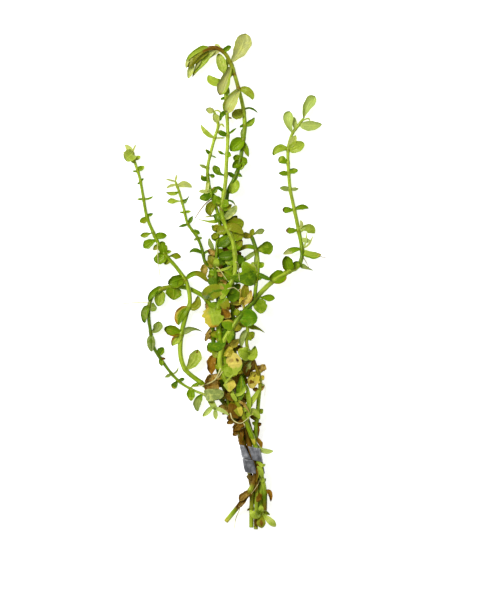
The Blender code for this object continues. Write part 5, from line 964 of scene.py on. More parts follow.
def leaf_solid(shoot, item, extra_height=0.0, roll=0.0, width_share=1.0, swell=0.0):
    """A leaf as its solid has it: corners and faces."""
    root, bend, tip, radius = leaf_line(shoot, item, extra_height)
    thickness = DECAYED_THICKNESS if item["tone"] in DECAYED else LEAF_THICKNESS
    half = item["width"] * width_share / 2
    narrow = min(radius * BASE_IN_STEM, max(NARROWEST_HALF, half * BASE_IN_LEAF))
    large = item["width"] >= LARGE_LEAF
    places = (0.0,) + (LARGE_PLACES if large else SMALL_PLACES)
    shares = (0.0,) + FORMS[item["form"]][0 if large else 1]
    corners = []
    faces = []
    for t, form in zip(places, shares):
        point, side, up = leaf_frame(root, bend, tip, t, roll)
        reach = (max(half * form, NARROWEST_HALF) if t else narrow) + swell
        corners += [point + side * reach, point + up * (thickness + swell), point - side * reach]
        if swell:
            corners.append(point - up * swell)
    ahead = (tip - bend).normalized()
    corners.append(tip + ahead * swell)
    around = 4 if swell else 3
    faces.append(tuple(range(around)))
    for i in range(len(places) - 1):
        for k in range(around):
            a = i * around + k
            b = i * around + (k + 1) % around
            faces.append((b, a, a + around, b + around))
    last = (len(places) - 1) * around
    for k in range(around):
        faces.append((last + (k + 1) % around, last + k, last + around))
    return corners, faces


def tree_of(corners, faces):
    """Search tree of a piece, with its box."""
    tree = BVHTree.FromPolygons(corners, faces)
    low = Vector(min(c[i] for c in corners) for i in range(3))
    high = Vector(max(c[i] for c in corners) for i in range(3))
    return tree, low, high


def touches(piece, others):
    """Whether a piece meets any of the others."""
    tree, low, high = piece
    for other, other_low, other_high in others:
        if all(low[i] <= other_high[i] and other_low[i] <= high[i] for i in range(3)):
            if tree.overlap(other):
                return True
    return False


def settle(shoot, item, others):
    """Height, roll and width share that keep the leaf's solid clear of the other pieces."""
    for width_share in WIDTH_TRIES:
        for roll in ROLL_TRIES:
            for height in HEIGHT_TRIES:
                wide = leaf_solid(shoot, item, height, roll, width_share, GAP)
                thin = leaf_solid(shoot, item, height, roll, width_share)
                if min(c.z for c in thin[0]) < FLOOR_CLEARANCE:
                    continue
                if not touches(tree_of(*wide), others):
                    return (height, roll, width_share), tree_of(*thin)
    return None, None


def settle_all(shoots, strips):
    """Settles every leaf in the order in which the solids were made, then the small scraps."""
    trees = {shoot["name"]: [tree_of(*stem_solid(shoot))] for shoot in shoots}
    trees["strips"] = [tree_of(*strip) for strip in strips]
    for batch in ("leaves", "scraps"):
        for shoot in shoots:
            for item in shoot[batch]:
                others = [tree for name, kept in trees.items() if name != shoot["name"] for tree in kept]
                item["settled"], tree = settle(shoot, item, others)
                if tree:
                    trees[shoot["name"]].append(tree)
                elif batch == "leaves":
                    raise RuntimeError(f"no room for the leaf of {shoot['name']} at {item['tip']}")


class Shape:
    """Corners, faces and surface values of a piece, gathered part by part."""

    def __init__(self):
        self.corners = []
        self.faces = []
        self.slots = []
        self.values = {name: [] for name in NUMBER_LAYERS + COLOUR_LAYERS}

    def add(self, corners, faces, slot, values):
        """Adds a part. Values are lists as long as the corners, or one value for them all."""
        start = len(self.corners)
        self.corners += corners
        self.faces += [tuple(start + i for i in face) for face in faces]
        self.slots += [slot] * len(faces)
        for name, kept in self.values.items():
            given = values.get(name, (0.0, 0.0, 0.0) if name in COLOUR_LAYERS else 0.0)
            kept += given if isinstance(given, list) else [given] * len(corners)

    def to_object(self, name, finishes):
        """Makes the object, in metres from the object's origin."""
        mesh = bpy.data.meshes.new(name)
        origin = resting_origin()
        mesh.from_pydata([(c - origin) * MM for c in self.corners], [], self.faces)
        for layer in NUMBER_LAYERS:
            kept = mesh.attributes.new(layer, "FLOAT", "POINT")
            kept.data.foreach_set("value", np.array(self.values[layer], np.float32))
        for layer in COLOUR_LAYERS:
            kept = mesh.attributes.new(layer, "FLOAT_COLOR", "POINT")
            flat = np.ones((len(self.corners), 4), np.float32)
            flat[:, :3] = self.values[layer]
            kept.data.foreach_set("color", flat.ravel())
        for finish in finishes:
            mesh.materials.append(finish)
        mesh.polygons.foreach_set("material_index", self.slots)
        mesh.shade_smooth()
        mesh.update()
        made = bpy.data.objects.new(name, mesh)
        bpy.context.scene.collection.objects.link(made)
        return made


def eased(low, high, value):
    """Smooth step from 0 at low to 1 at high."""
    share = min(max((value - low) / (high - low), 0.0), 1.0)
    return share * share * (3 - 2 * share)


def wobble(x, y=0.0, z=0.0):
    """Smooth noise from about -1 to 1."""
    return noise.noise(Vector((x, y, z)))


def mark_amount(mark, t, v):
    """How strongly a mark shows at a place of a leaf: t from base to tip, v from left to right."""
    kind, _, size, *place = mark
    if kind == "tip":
        return eased(1 - size - 0.15, 1 - size + 0.15, t)
    if kind == "base":
        return eased(size + 0.15, size - 0.15, t)
    if kind == "midrib":
        return eased(size + 0.18, size - 0.12, abs(v))
    if kind == "rim":
        return eased(size + 0.16, size - 0.06, min(1 - abs(v), (1 - t) * 2.4))
    if kind == "right":
        return eased(1 - 2 * size - 0.25, 1 - 2 * size + 0.25, v)
    if kind == "left":
        return eased(1 - 2 * size - 0.25, 1 - 2 * size + 0.25, -v)
    if kind == "patch":
        away = math.hypot((t - place[0]) / size, (v - place[1]) / (size * 2))
        return eased(1.35, 0.65, away)
    return size


def outline_at(form, t, point):
    """Half width of a leaf at t, as a share of its largest, with its tip round or, at 1, pointed."""
    widths, cap = OUTLINES[form]
    width = float(np.interp(t, np.linspace(0, 1, len(widths)), widths))
    if t > cap:
        share = (t - cap) / (1 - cap)
        width *= math.sqrt(max(0.0, 1 - share ** 2)) * (1 - point) + (1 - share) * point
    return width


def marks_of(item, seed):
    """The marks of a leaf: those given with it, or else ones that leaves of its tone often have, some of them a lighter
    or darker half painted as fold shade.
    """
    if item["marks"]:
        return item["marks"][:3]
    choices = TONE_MARKS.get(item["look"], ((),))
    return choices[int((wobble(seed, 8.8) * 0.5 + 0.5) * 97) % len(choices)]


def within_height(place, thick):
    """The place, kept over the table and eased in under the bunch's full height."""
    if place.z > EASE_HEIGHT:
        place.z = EASE_HEIGHT + EASE_SPAN * math.tanh((place.z - EASE_HEIGHT) / EASE_SPAN)
    place.z = max(place.z, FLOOR_CLEARANCE + thick)
    return place


def add_leaf(shape, shoot, item, number, ease, settings):
    """Adds one fine leaf to a shape, with its form eased towards flat where room is short."""
    height, roll, width_share = item["settled"]
    _, bend, tip, radius = leaf_line(shoot, item, height)
    root = nearest_on(shoot["fine"], item["base"])[0]
    if item["end"]:
        tip.xy = item["end"]
    if item["bend"]:
        bend.xy = item["bend"]
    if item["over"]:
        tip.z = item["over"]
        bend.z = root.z + (tip.z - root.z) * STEEP_BEND
    length = (bend - root).length + (tip - bend).length
    decayed = item["look"] in DECAYED
    form = {**(SPOILT_FORM if decayed else FRESH_FORM), **item["form_changes"]}
    half = item["width"] * width_share * form["broad"] * item["broad"] / 2
    seed = number * 7.31 + len(shoot["name"])
    sway = wobble(seed, 0.3)
    cup = (form["cup"] + form["vary"] * wobble(seed, 1.7)) * ease
    fold = form["fold"] * (1 + wobble(seed, 4.1)) * ease
    wave = form["wave"] * ease
    curl = form["rim_curl"] * (1 + 1.6 * wobble(seed, 5.2)) * ease
    skew = form["skew"] * wobble(seed, 2.9)
    point = min(max(form["point"] * (1 + 2 * wobble(seed, 6.3)), 0.0), 1.0)
    torn = form["torn"]
    base_half = min(OUTLINES[item["shape"]][0][0] * half, radius * 0.75)
    stations = LEAF_STATIONS if length > SHORT_LEAF else SHORT_LEAF_STATIONS
    columns = LEAF_COLUMNS if item["width"] > NARROW_LEAF else NARROW_LEAF_COLUMNS
    blade = settings.blade_thickness / MM
    rim = settings.rim_thickness / MM
    layers = {name: [] for name in NUMBER_LAYERS + COLOUR_LAYERS}
    tones = [tone_of(item["look"], 0.10 * wobble(seed, 9.2))]
    marks = marks_of(item, seed)
    tones += [tone_of(mark[1], 0.0) for mark in marks]
    tones += [tones[0]] * (4 - len(tones))
    top = []
    bottom = []
    for i in range(stations + 1):
        even = i / stations
        t = even * (1.3 - 0.3 * even)
        point_on, side, up = leaf_frame(root, bend, tip, t, roll + form["twist"] * sway * t * ease)
        width = half * outline_at(item["shape"], t, point)
        lift = form["bow"] * length * math.sin(math.pi * t) * ease + form["curl"] * length * t ** 3 * ease
        for j in range(columns + 1):
            v = math.sin(math.pi / 2 * (2 * j / columns - 1))
            hem = max(0.0, (abs(v) - 0.45) / 0.55) ** 2
            reach = width * (1 + skew * math.copysign(1, v)) * (1 + torn * wobble(seed + v, t * 6.0, v))
            reach = max(base_half + (reach - base_half) * eased(0.0, 0.14, t), 0.03)
            away = cup * v * v + fold * math.sqrt(v * v + 0.01) + 0.5 * curl * hem
            away += wave * wobble(seed + 3, t * form["waves"], v * 1.4) * (0.25 + abs(v))
            side_reach = reach * v * (1 - 0.3 * abs(curl) * hem)
            out = point_on + side * side_reach + up * (lift + away * half * eased(0.0, 0.2, t))
            thick = rim + (blade - rim) * (1 - v * v)
            keel = KEEL * eased(0.22, 0.0, abs(v)) * eased(1.0, 0.5, t)
            top.append(within_height(out + up * (0.16 + thick / 2), 0.2))
            bottom.append(within_height(out + up * (0.16 - thick / 2 - keel), 0.0))
            layers["along"].append(t)
            layers["across"].append(v)
            for layer, mark in zip(MARK_LAYERS, marks):
                layers[layer].append(mark_amount(mark, t, v))
    many = len(top)
    for layer in MARK_LAYERS:
        layers[layer] = layers[layer] or [0.0] * many
    layers["seed"] = [seed] * many
    layers["wide"] = [item["width"]] * many
    for layer, colour in zip(COLOUR_LAYERS, tones):
        layers[layer] = [colour] * many
    values = {name: kept * 2 for name, kept in layers.items() if kept}
    shape.add(top + bottom, sheet_faces(stations + 1, columns + 1, many), 1, values)


def sheet_faces(rows, columns, many):
    """Faces of a closed sheet with a top and a bottom grid of corners."""
    faces = []
    for i in range(rows - 1):
        for j in range(columns - 1):
            a = i * columns + j
            b = a + columns
            faces.append((a, b, b + 1, a + 1))
            faces.append((many + a, many + a + 1, many + b + 1, many + b))
        left = i * columns
        right = left + columns - 1
        faces.append((left, many + left, many + left + columns, left + columns))
        faces.append((right, right + columns, many + right + columns, many + right))
    for j in range(columns - 1):
        last = (rows - 1) * columns + j
        faces.append((j, j + 1, many + j + 1, many + j))
        faces.append((last, many + last, many + last + 1, last + 1))
    return faces


def line_lengths(line):
    """Distance along a line to each of its points."""
    lengths = [0.0]
    for a, b in zip(line, line[1:]):
        lengths.append(lengths[-1] + (b - a).length)
    return lengths


def along_line(line, lengths, distance):
    """Point of a line at a distance along it."""
    i = int(np.searchsorted(lengths, distance, side="right")) - 1
    i = min(max(i, 0), len(line) - 2)
    share = (distance - lengths[i]) / max(lengths[i + 1] - lengths[i], 1e-9)
    return line[i].lerp(line[i + 1], share)


def distance_of(line, lengths, place):
    """Distance along a line of the point nearest to a place seen from above."""
    share = nearest_on(line, place)[1] * (len(line) - 1)
    i = min(int(share), len(line) - 2)
    return lengths[i] + (lengths[i + 1] - lengths[i]) * (share - i)


def add_stem(shape, shoot, settings):
    """Adds the fine stem: a ring every fraction of a millimetre, swollen at the leaf nodes."""
    line = shoot["fine"]
    lengths = line_lengths(line)
    nodes = sorted(distance_of(line, lengths, item["base"]) for item in shoot["leaves"])
    stops = sorted((distance_of(line, lengths, place), tone) for place, tone in shoot["bark"])
    rings = math.ceil(lengths[-1] / STEM_STEP)
    points = []
    radii = []
    close = []
    tints = []
    seed = len(shoot["name"]) * 1.7
    for i in range(rings + 1):
        s = lengths[-1] * i / rings
        point = along_line(line, lengths, s)
        share = nearest_on(shoot["line"], point.to_2d())[1]
        node = max((math.exp(-((s - n) / NODE_LENGTH) ** 2) for n in nodes), default=0.0)
        end = math.sqrt(min(1.0, (lengths[-1] - s) / (2 * radius_at(shoot, 1.0)) + 0.02))
        radius = radius_at(shoot, share) * FINE_STEM * (1 + settings.node_swelling * node) * end
        radius = min(radius * (1 + 0.04 * wobble(seed, s * 0.4)), STEM_TOP - point.z)
        points.append(point)
        radii.append(radius)
        close.append(node)
        tints.append(stop_colour(stops, s))
    corners, faces = tube(points, radii, STEM_AROUND)
    values = {
        "along": [lengths[-1] * i / rings for i in range(rings + 1) for _ in range(STEM_AROUND)],
        "across": [math.sin(math.tau * k / STEM_AROUND) for _ in points for k in range(STEM_AROUND)],
        "wide": [math.cos(math.tau * k / STEM_AROUND) for _ in points for k in range(STEM_AROUND)],
        "mark_one": [node for node in close for _ in range(STEM_AROUND)],
        "tint": [tint for tint in tints for _ in range(STEM_AROUND)],
        "seed": seed,
    }
    values["mark_two"] = [1.0 if i < STEM_AROUND else 0.0 for i in range(len(corners))]
    shape.add(corners, faces, 0, values)


def stop_colour(stops, s):
    """Colour at a distance, between the colour stops on either side."""
    places = [place for place, _ in stops]
    colours = np.array([tone_of(tone, 0.0) for _, tone in stops])
    return tuple(float(np.interp(s, places, colours[:, c])) for c in range(3))


def tone_of(name, change):
    """A named colour as linear red, green and blue, a little lighter or darker."""
    shade = getattr(bpy.context.scene.rotala.colours, name)
    return tuple((c * (1 + change)) ** 2.2 for c in shade)


def add_root(shape, shoot, item, ground):
    """Adds one root: a thin tube that leaves its stem and drapes over what lies under it."""
    points, radius, tone = item
    line = smooth_line([(x, y, 0.0) for x, y in points])
    start = nearest_on(shoot["fine"], points[0])[0]
    first = Vector((points[0][0], points[0][1], start.z))
    heights = []
    for i, point in enumerate(line):
        below = max((tree.ray_cast(Vector((point.x, point.y, 40.0)), Vector((0, 0, -1)))[0] or Vector()).z
                    for tree in ground)
        heights.append(min(max(below, 0.0) + radius + 0.05, ROOT_CEILING))
    heights[0] = min(heights[0], max(first.z, radius + 0.05)) if (first - start).length < 2.5 else heights[0]
    for _ in range(6):
        eased_heights = [(heights[max(i - 1, 0)] + heights[i] + heights[min(i + 1, len(heights) - 1)]) / 3
                         for i in range(len(heights))]
        heights = [max(a, b) if i else a for i, (a, b) in enumerate(zip(heights, eased_heights))]
    placed = [Vector((p.x, p.y, h)) for p, h in zip(line, heights)]
    radii = [radius * (1 - 0.55 * i / (len(placed) - 1)) for i in range(len(placed))]
    corners, faces = tube(placed, radii, ROOT_AROUND)
    shape.add(corners, faces, 2, {"tint": tone_of(tone, 0.0), "seed": float(len(points)),
                                 "along": [0.8 * (i // ROOT_AROUND) for i in range(len(corners))]})


def tie_place(column, row, y):
    """Centre of one stem where the bunch passes through the tie."""
    return (TIE_CENTRE_X + TIE_LEAN * y + column * PITCH_X, y, TIE_CENTRE_Z + row * PITCH_Z)


def resting_origin():
    """The object's origin: under the middle of the upper strip, on the plane the bunch lies on."""
    x, y, _ = tie_place(0, 0, UPPER_STRIP_Y)
    return Vector((x, y, 0.0))


def through_tie(column, row):
    """The stretch of route that lies inside the tie, from below it to above it."""
    return [tie_place(column, row, y) for y in TIE_ROUTE_Y]


def tie_outline(turn, depth, smooth):
    """A point round the tie, at a depth outside its inner face: as its solid has it, or smooth."""
    corners = ((1, 1), (-1, 1), (-1, -1), (1, -1))
    steps = CORNER_STEPS + 1
    place = (turn % 1.0) * steps * len(corners)

    def on_corner(step):
        k = int(step // steps) % len(corners)
        sign_x, sign_z = corners[k]
        radius = BUNDLE_CORNER + depth
        angle = math.radians(90 * k + CORNER_STEP * min(step - steps * (step // steps), CORNER_STEPS))
        return Vector((sign_x * (BUNDLE_HALF_WIDTH - BUNDLE_CORNER) + math.cos(angle) * radius,
                       sign_z * (BUNDLE_HALF_HEIGHT - BUNDLE_CORNER) + math.sin(angle) * radius))

    low = math.floor(place)
    if smooth and low % steps < CORNER_STEPS:
        return on_corner(place)
    return on_corner(low).lerp(on_corner(low + 1), place - low)


def strip_solid(far_edge, near_edge, middle_y, slope):
    """A strip as its solid has it."""
    many = (CORNER_STEPS + 1) * 4
    first = math.floor(max(far_edge[0], near_edge[0]) * many) + 1
    last = math.ceil(min(far_edge[1], near_edge[1]) * many) - 1
    stations = [(far_edge[0], near_edge[0])]
    stations += [(k / many, k / many) for k in range(first, last + 1)]
    stations.append((far_edge[1], near_edge[1]))
    corners = []
    for station in stations:
        for turn, side in zip(station, (0.5, -0.5)):
            for depth in (0.0, STRIP_THICKNESS):
                corners.append(strip_point(turn, side, depth, middle_y, slope, False))
    faces = [(0, 1, 3, 2)]
    for i in range(len(stations) - 1):
        a = i * 4
        b = a + 4
        faces += [(a, b, b + 1, a + 1), (a + 1, b + 1, b + 3, a + 3),
                  (a + 3, b + 3, b + 2, a + 2), (a + 2, b + 2, b, a)]
    end = len(corners) - 4
    faces.append((end, end + 2, end + 3, end + 1))
    return corners, faces


def strip_point(turn, side, depth, middle_y, slope, smooth):
    """A point of a strip: round the bunch, across the strip, and out from the bunch."""
    across, high = tie_outline(turn, depth, smooth)
    y = middle_y + side * (FINE_STRIP_WIDTH if smooth else STRIP_WIDTH) + slope * across
    return Vector((TIE_CENTRE_X + TIE_LEAN * y + across, y, TIE_CENTRE_Z + high))


def strip_shape(far_edge, near_edge, middle_y, slope, settings):
    """A fine strip with dents, worn edges and creases where it was pressed round the bunch."""
    shape = Shape()
    inner = []
    outer = []
    layers = {"along": [], "across": [], "mark_two": []}
    for i in range(STRIP_STATIONS + 1):
        for j in range(STRIP_COLUMNS + 1):
            side = -0.5 * math.cos(math.pi * j / STRIP_COLUMNS)
            share = 0.5 - side
            start = far_edge[0] + (near_edge[0] - far_edge[0]) * share
            end = far_edge[1] + (near_edge[1] - far_edge[1]) * share
            turn = start + (end - start) * i / STRIP_STATIONS
            on_top = eased(0.55, 0.45, turn % 1.0)
            dent = settings.dent_depth / MM * (wobble(turn * 16, side * 3, middle_y) - 0.4) * on_top
            for crease in STRIP_CREASES:
                bend = turn % 1.0 - crease - 0.02 * side
                dent -= 0.16 * math.exp(-(bend / 0.008) ** 2) * on_top
            worn = STRIP_WORN * eased(0.38, 0.5, abs(side))
            worn += STRIP_WORN * eased(2.0, 0.0, min(i, STRIP_STATIONS - i))
            inner.append(strip_point(turn, side, max(dent, 0.0), middle_y, slope, True))
            outer.append(strip_point(turn, side, STRIP_THICKNESS + dent - worn, middle_y, slope, True))
            layers["along"].append(turn)
            layers["across"].append(side * 2)
            layers["mark_two"].append(eased(3.0, 0.0, min(i, STRIP_STATIONS - i)))
    many = len(outer)
    values = {name: kept * 2 for name, kept in layers.items()}
    values["mark_one"] = [0.0] * many + [1.0] * many
    faces = [tuple(reversed(face)) for face in sheet_faces(STRIP_STATIONS + 1, STRIP_COLUMNS + 1, many)]
    shape.add(outer + inner, faces, 0, values)
    return shape


class Number:
    """A number socket of a shader. Python's operators on it add Math nodes."""

    def __init__(self, surface, socket):
        self.surface = surface
        self.socket = socket

    def maths(self, operation, *values):
        return self.surface.number("Math", {"operation": operation}, dict(enumerate(values)))

    def __add__(self, other):
        return self.maths("ADD", self, other)

    def __radd__(self, other):
        return self.maths("ADD", other, self)

    def __sub__(self, other):
        return self.maths("SUBTRACT", self, other)

    def __rsub__(self, other):
        return self.maths("SUBTRACT", other, self)

    def __mul__(self, other):
        return self.maths("MULTIPLY", self, other)

    def __rmul__(self, other):
        return self.maths("MULTIPLY", other, self)

    def __truediv__(self, other):
        return self.maths("DIVIDE", self, other)

    def __abs__(self):
        return self.maths("ABSOLUTE", self)

    def sine(self):
        return self.maths("SINE", self)

    def larger(self, other):
        return self.maths("MAXIMUM", self, other)


class Surface:
    """A material's shader, built node by node."""

    def __init__(self, name):
        self.material = bpy.data.materials.new(name)
        self.material.use_nodes = True
        self.tree = self.material.node_tree
        self.tree.nodes.clear()

    def node(self, kind, settings, values):
        """Adds a node: its type, its settings, and the values or links of its sockets."""
        made = self.tree.nodes.new("ShaderNode" + kind)
        for name, value in settings.items():
            setattr(made, name, value)
        for name, value in values.items():
            socket = made.inputs[name]
            if isinstance(value, Number):
                value = value.socket
            if isinstance(value, bpy.types.NodeSocket):
                self.tree.links.new(value, socket)
            else:
                socket.default_value = value
        return made

    def number(self, kind, settings, values, output=0):
        """Adds a node and gives one of its outputs as a number."""
        return Number(self, self.node(kind, settings, values).outputs[output])

    def layer(self, name):
        """A number that the mesh keeps at its corners."""
        return self.number("Attribute", {"attribute_name": name}, {}, "Fac")

    def colour_layer(self, name):
        """A colour that the mesh keeps at its corners."""
        return self.node("Attribute", {"attribute_name": name}, {}).outputs["Color"]

    def place(self):
        """Place on the object, in metres."""
        return self.node("TexCoord", {}, {}).outputs["Object"]

    def grain(self, vector, scale, detail=3.0, rough=0.55):
        """Noise from 0 to 1."""
        return self.number("TexNoise", {}, {"Vector": vector, "Scale": scale, "Detail": detail,
                                            "Roughness": rough})

    def vector(self, x, y, z):
        return self.node("CombineXYZ", {}, {"X": x, "Y": y, "Z": z}).outputs[0]

    def step(self, value, low, high):
        """Smooth step of a value between two numbers."""
        return self.number("MapRange", {"interpolation_type": "SMOOTHSTEP"},
                           {"Value": value, "From Min": low, "From Max": high})

    def mix(self, share, one, other):
        """Mixes two colours: all one at 0 and all the other at 1."""
        return self.node("Mix", {"data_type": "RGBA"}, {0: share, 6: one, 7: other}).outputs[2]

    def shade(self, colour, amount):
        """A colour times a number."""
        return self.node("VectorMath", {"operation": "SCALE"}, {0: colour, "Scale": amount}).outputs[0]

    def finish(self, sockets, height, depth):
        """Adds the shader itself, with a bump of a height in metres, and gives the material."""
        bump = self.node("Bump", {}, {"Height": height, "Strength": 1.0, "Distance": depth})
        values = {**sockets, "Normal": bump.outputs[0]}
        shader = self.node("BsdfPrincipled", {}, values)
        self.node("OutputMaterial", {}, {"Surface": shader.outputs[0]})
        return self.material


def leaf_finish(settings):
    """Wet leaf blade: veins, blotches, a darker rim, and decay and other tones that eat in from its marks, among them
    halves painted as fold shade.
    """
    s = Surface("leaf_blade")
    place = s.place()
    along, across, wide = s.layer("along"), s.layer("across"), s.layer("wide")
    blotch = s.grain(place, 420.0, 4.0)
    speck = s.grain(place, 1500.0, 3.0)
    cells = s.grain(place, 5200.0, 2.0)
    edge = abs(across)
    large = s.step(wide, 2.0, 5.0)
    branch = abs((along * 34.0 - edge * 11.0 + blotch * 2.0).sine())
    veins = s.step(branch, 0.24, 0.0) * s.step(edge, 0.98, 0.6) * large
    midrib = s.step(edge, 0.16, 0.03) * s.step(along, 0.96, 0.7)
    broken = (blotch - 0.5) * 1.5 + (speck - 0.5) * 0.7
    one = s.step(s.layer("mark_one") + broken, 0.28, 0.84)
    two = s.step(s.layer("mark_two") + broken, 0.28, 0.84)
    three = s.step(s.layer("mark_three") + broken, 0.28, 0.84)
    # Mix in the tints of the marks: decay and other tones, and on some leaves a darker or lighter half that is painted
    # fold shade.
    colour = s.mix(one, s.colour_layer("tint"), s.colour_layer("tint_one"))
    colour = s.mix(two, colour, s.colour_layer("tint_two"))
    colour = s.mix(three, colour, s.colour_layer("tint_three"))
    warm = s.step(blotch, 0.35, 0.75) * 0.4
    colour = s.mix(warm, colour, s.node("VectorMath", {"operation": "MULTIPLY"},
                                        {0: colour, 1: (1.22, 1.06, 0.62)}).outputs[0])
    spots = s.step(speck + (blotch - 0.5) * 0.5, 0.62, 0.74) * (0.10 + one.larger(two) * 0.35)
    colour = s.mix(spots, colour, (*tone_of("brown", 0.0), 1.0))
    light = 0.80 + blotch * 0.34 + (speck - 0.5) * 0.26
    light = light * (1.0 - veins * 0.16) * (1.0 + midrib * 0.16)
    rough = settings.blade_roughness + (speck - 0.5) * 0.20 + one.larger(two) * 0.14
    height = cells * 0.25 + speck * 0.5 - veins * 0.5 - midrib * 0.8 + blotch * 0.6
    return s.finish({"Base Color": s.shade(colour, light), "Roughness": rough,
                     "Specular IOR Level": 0.35, "Specular Tint": SHEEN_TINT, "Coat Weight": 0.05,
                     "Coat Roughness": 0.12},
                    height, 0.00018)


def stem_finish(settings):
    """Wet stem skin: lengthwise streaks, brown scars at the nodes, a paler cut end, and a painted highlight stripe
    along the top and underside.
    """
    s = Surface("stem_skin")
    place = s.place()
    around = s.vector(s.layer("across"), s.layer("wide"), s.layer("along") * 0.10)
    streak = s.grain(around, 2.6, 4.0)
    speck = s.grain(place, 1300.0, 3.0)
    blotch = s.grain(place, 260.0, 3.0)
    node = s.layer("mark_one")
    colour = s.colour_layer("tint")
    scar = s.step(node + (speck - 0.5) * 1.1, 0.8, 1.15)
    colour = s.mix(scar * 0.6, colour, (*tone_of("brown", 0.0), 1.0))
    speckled = s.step(speck + (blotch - 0.5) * 0.5, 0.66, 0.76) * 0.3
    colour = s.mix(speckled, colour, (*tone_of("brown", 0.0), 1.0))
    # Painted highlight: a lighter copy of the colour in a stripe along the top and underside of the stem, broken up by
    # the streaks.
    painted_highlight_stripe = s.step(abs(s.layer("across")), 0.70, 0.98) * s.step(streak, 0.3, 0.6)
    colour = s.mix(painted_highlight_stripe * 0.35, colour, s.shade(colour, 1.5))
    colour = s.mix(s.layer("mark_two"), colour, (*tone_of("pale", -0.1), 1.0))
    ridge = s.step(streak, 0.36, 0.66)
    light = 0.74 + ridge * 0.32 + (blotch - 0.5) * 0.30 + (speck - 0.5) * 0.16 - node * 0.10
    rough = settings.skin_roughness + (speck - 0.5) * 0.2
    height = streak * 1.2 + speck * 0.35
    return s.finish({"Base Color": s.shade(colour, light), "Roughness": rough,
                     "Specular IOR Level": 0.4, "Specular Tint": SHEEN_TINT, "Coat Weight": 0.08,
                     "Coat Roughness": 0.12},
                    height, 0.0002)


def root_finish():
    """Thin pale root, with browner stretches."""
    s = Surface("root_skin")
    place = s.place()
    blotch = s.grain(place, 500.0, 3.0)
    speck = s.grain(place, 3000.0, 2.0)
    brown = s.step(blotch, 0.5, 0.7) * 0.45
    colour = s.mix(brown, s.colour_layer("tint"), (*tone_of("root_brown", 0.0), 1.0))
    return s.finish({"Base Color": s.shade(colour, 0.85 + speck * 0.3), "Roughness": 0.5 + speck * 0.15,
                     "Specular IOR Level": 0.4}, speck, 0.00008)


def lead_finish(settings):
    """Dull soft lead: cloudy oxide, fine scratches and bright worn edges."""
    s = Surface("soft_lead_skin")
    place = s.place()
    cloud = (s.grain(place, 330.0, 5.0) + s.grain(place, 110.0, 2.0)) * 0.5
    dull = s.grain(place, 1400.0, 3.0)
    around = s.vector(s.layer("along") * 5.0, s.layer("across") * 0.35, 0.0)
    scratch = s.grain(around, 22.0, 4.0, 0.7)
    worn = s.step(abs(s.layer("across")).larger(s.layer("mark_two")) + (dull - 0.5) * 0.3, 0.86, 1.0)
    line = s.step(scratch, 0.60, 0.72)
    colour = s.mix(s.step(cloud, 0.4, 0.6), (*settings.oxide_colour, 1.0), (*settings.metal_colour, 1.0))
    colour = s.mix(worn.larger(line * 0.5) * 0.6, colour, (0.36, 0.37, 0.39, 1.0))
    rough = 0.36 + cloud * 0.28 - worn * 0.08
    height = cloud * 0.9 + dull * 0.4 - line * 0.4
    return s.finish({"Base Color": colour, "Roughness": rough, "Metallic": 0.75}, height, 0.00022)


def table_finish(settings):
    """Plain white table."""
    s = Surface("white_table")
    speck = s.grain(s.place(), 40.0, 2.0)
    return s.finish({"Base Color": (*settings.table_colour, 1.0), "Roughness": 0.6,
                     "Emission Color": (1.0, 1.0, 1.0, 1.0), "Emission Strength": settings.table_glow},
                    speck, 0.00001)


def colour_property(label, default):
    return bpy.props.FloatVectorProperty(name=label, description=f"Colour of {label.lower()}", size=3,
                                         subtype="COLOR_GAMMA", min=0.0, max=1.0, default=default)


class RotalaColours(bpy.types.PropertyGroup):
    """Colours of leaves, stems and roots."""

    __annotations__ = {name: colour_property(f"{name.replace('_', ' ').capitalize()} parts", shade)
                       for name, shade in TONES.items()}


class RotalaLeaves(bpy.types.PropertyGroup):
    """Sizes and gloss of the leaves."""

    blade_thickness: bpy.props.FloatProperty(
        name="Blade Thickness", description="Thickness of a leaf along its middle",
        default=0.00034, min=0.0001, max=0.001, unit="LENGTH")
    rim_thickness: bpy.props.FloatProperty(
        name="Rim Thickness", description="Thickness of a leaf at its rim",
        default=0.00016, min=0.00005, max=0.0005, unit="LENGTH")
    blade_roughness: bpy.props.FloatProperty(
        name="Blade Roughness", description="Roughness of the wet leaf surface",
        default=0.36, min=0.0, max=1.0, subtype="FACTOR")


class RotalaStems(bpy.types.PropertyGroup):
    """Sizes and gloss of the stems."""

    node_swelling: bpy.props.FloatProperty(
        name="Node Swelling", description="How much thicker a stem is where leaves leave it",
        default=NODE_SWELLING, min=0.0, max=1.0, subtype="FACTOR")
    skin_roughness: bpy.props.FloatProperty(
        name="Skin Roughness", description="Roughness of the wet stem skin",
        default=0.34, min=0.0, max=1.0, subtype="FACTOR")


class RotalaTie(bpy.types.PropertyGroup):
    """Dents and colours of the soft metal strips."""

    dent_depth: bpy.props.FloatProperty(
        name="Dent Depth", description="Depth of the dents pressed into the strips",
        default=0.00022, min=0.0, max=0.0005, unit="LENGTH")
    metal_colour: bpy.props.FloatVectorProperty(
        name="Metal Colour", description="Colour of the cleaner metal", size=3, subtype="COLOR",
        default=(0.30, 0.305, 0.32), min=0.0, max=1.0)
    oxide_colour: bpy.props.FloatVectorProperty(
        name="Oxide Colour", description="Colour of the dull oxide", size=3, subtype="COLOR",
        default=(0.11, 0.113, 0.12), min=0.0, max=1.0)


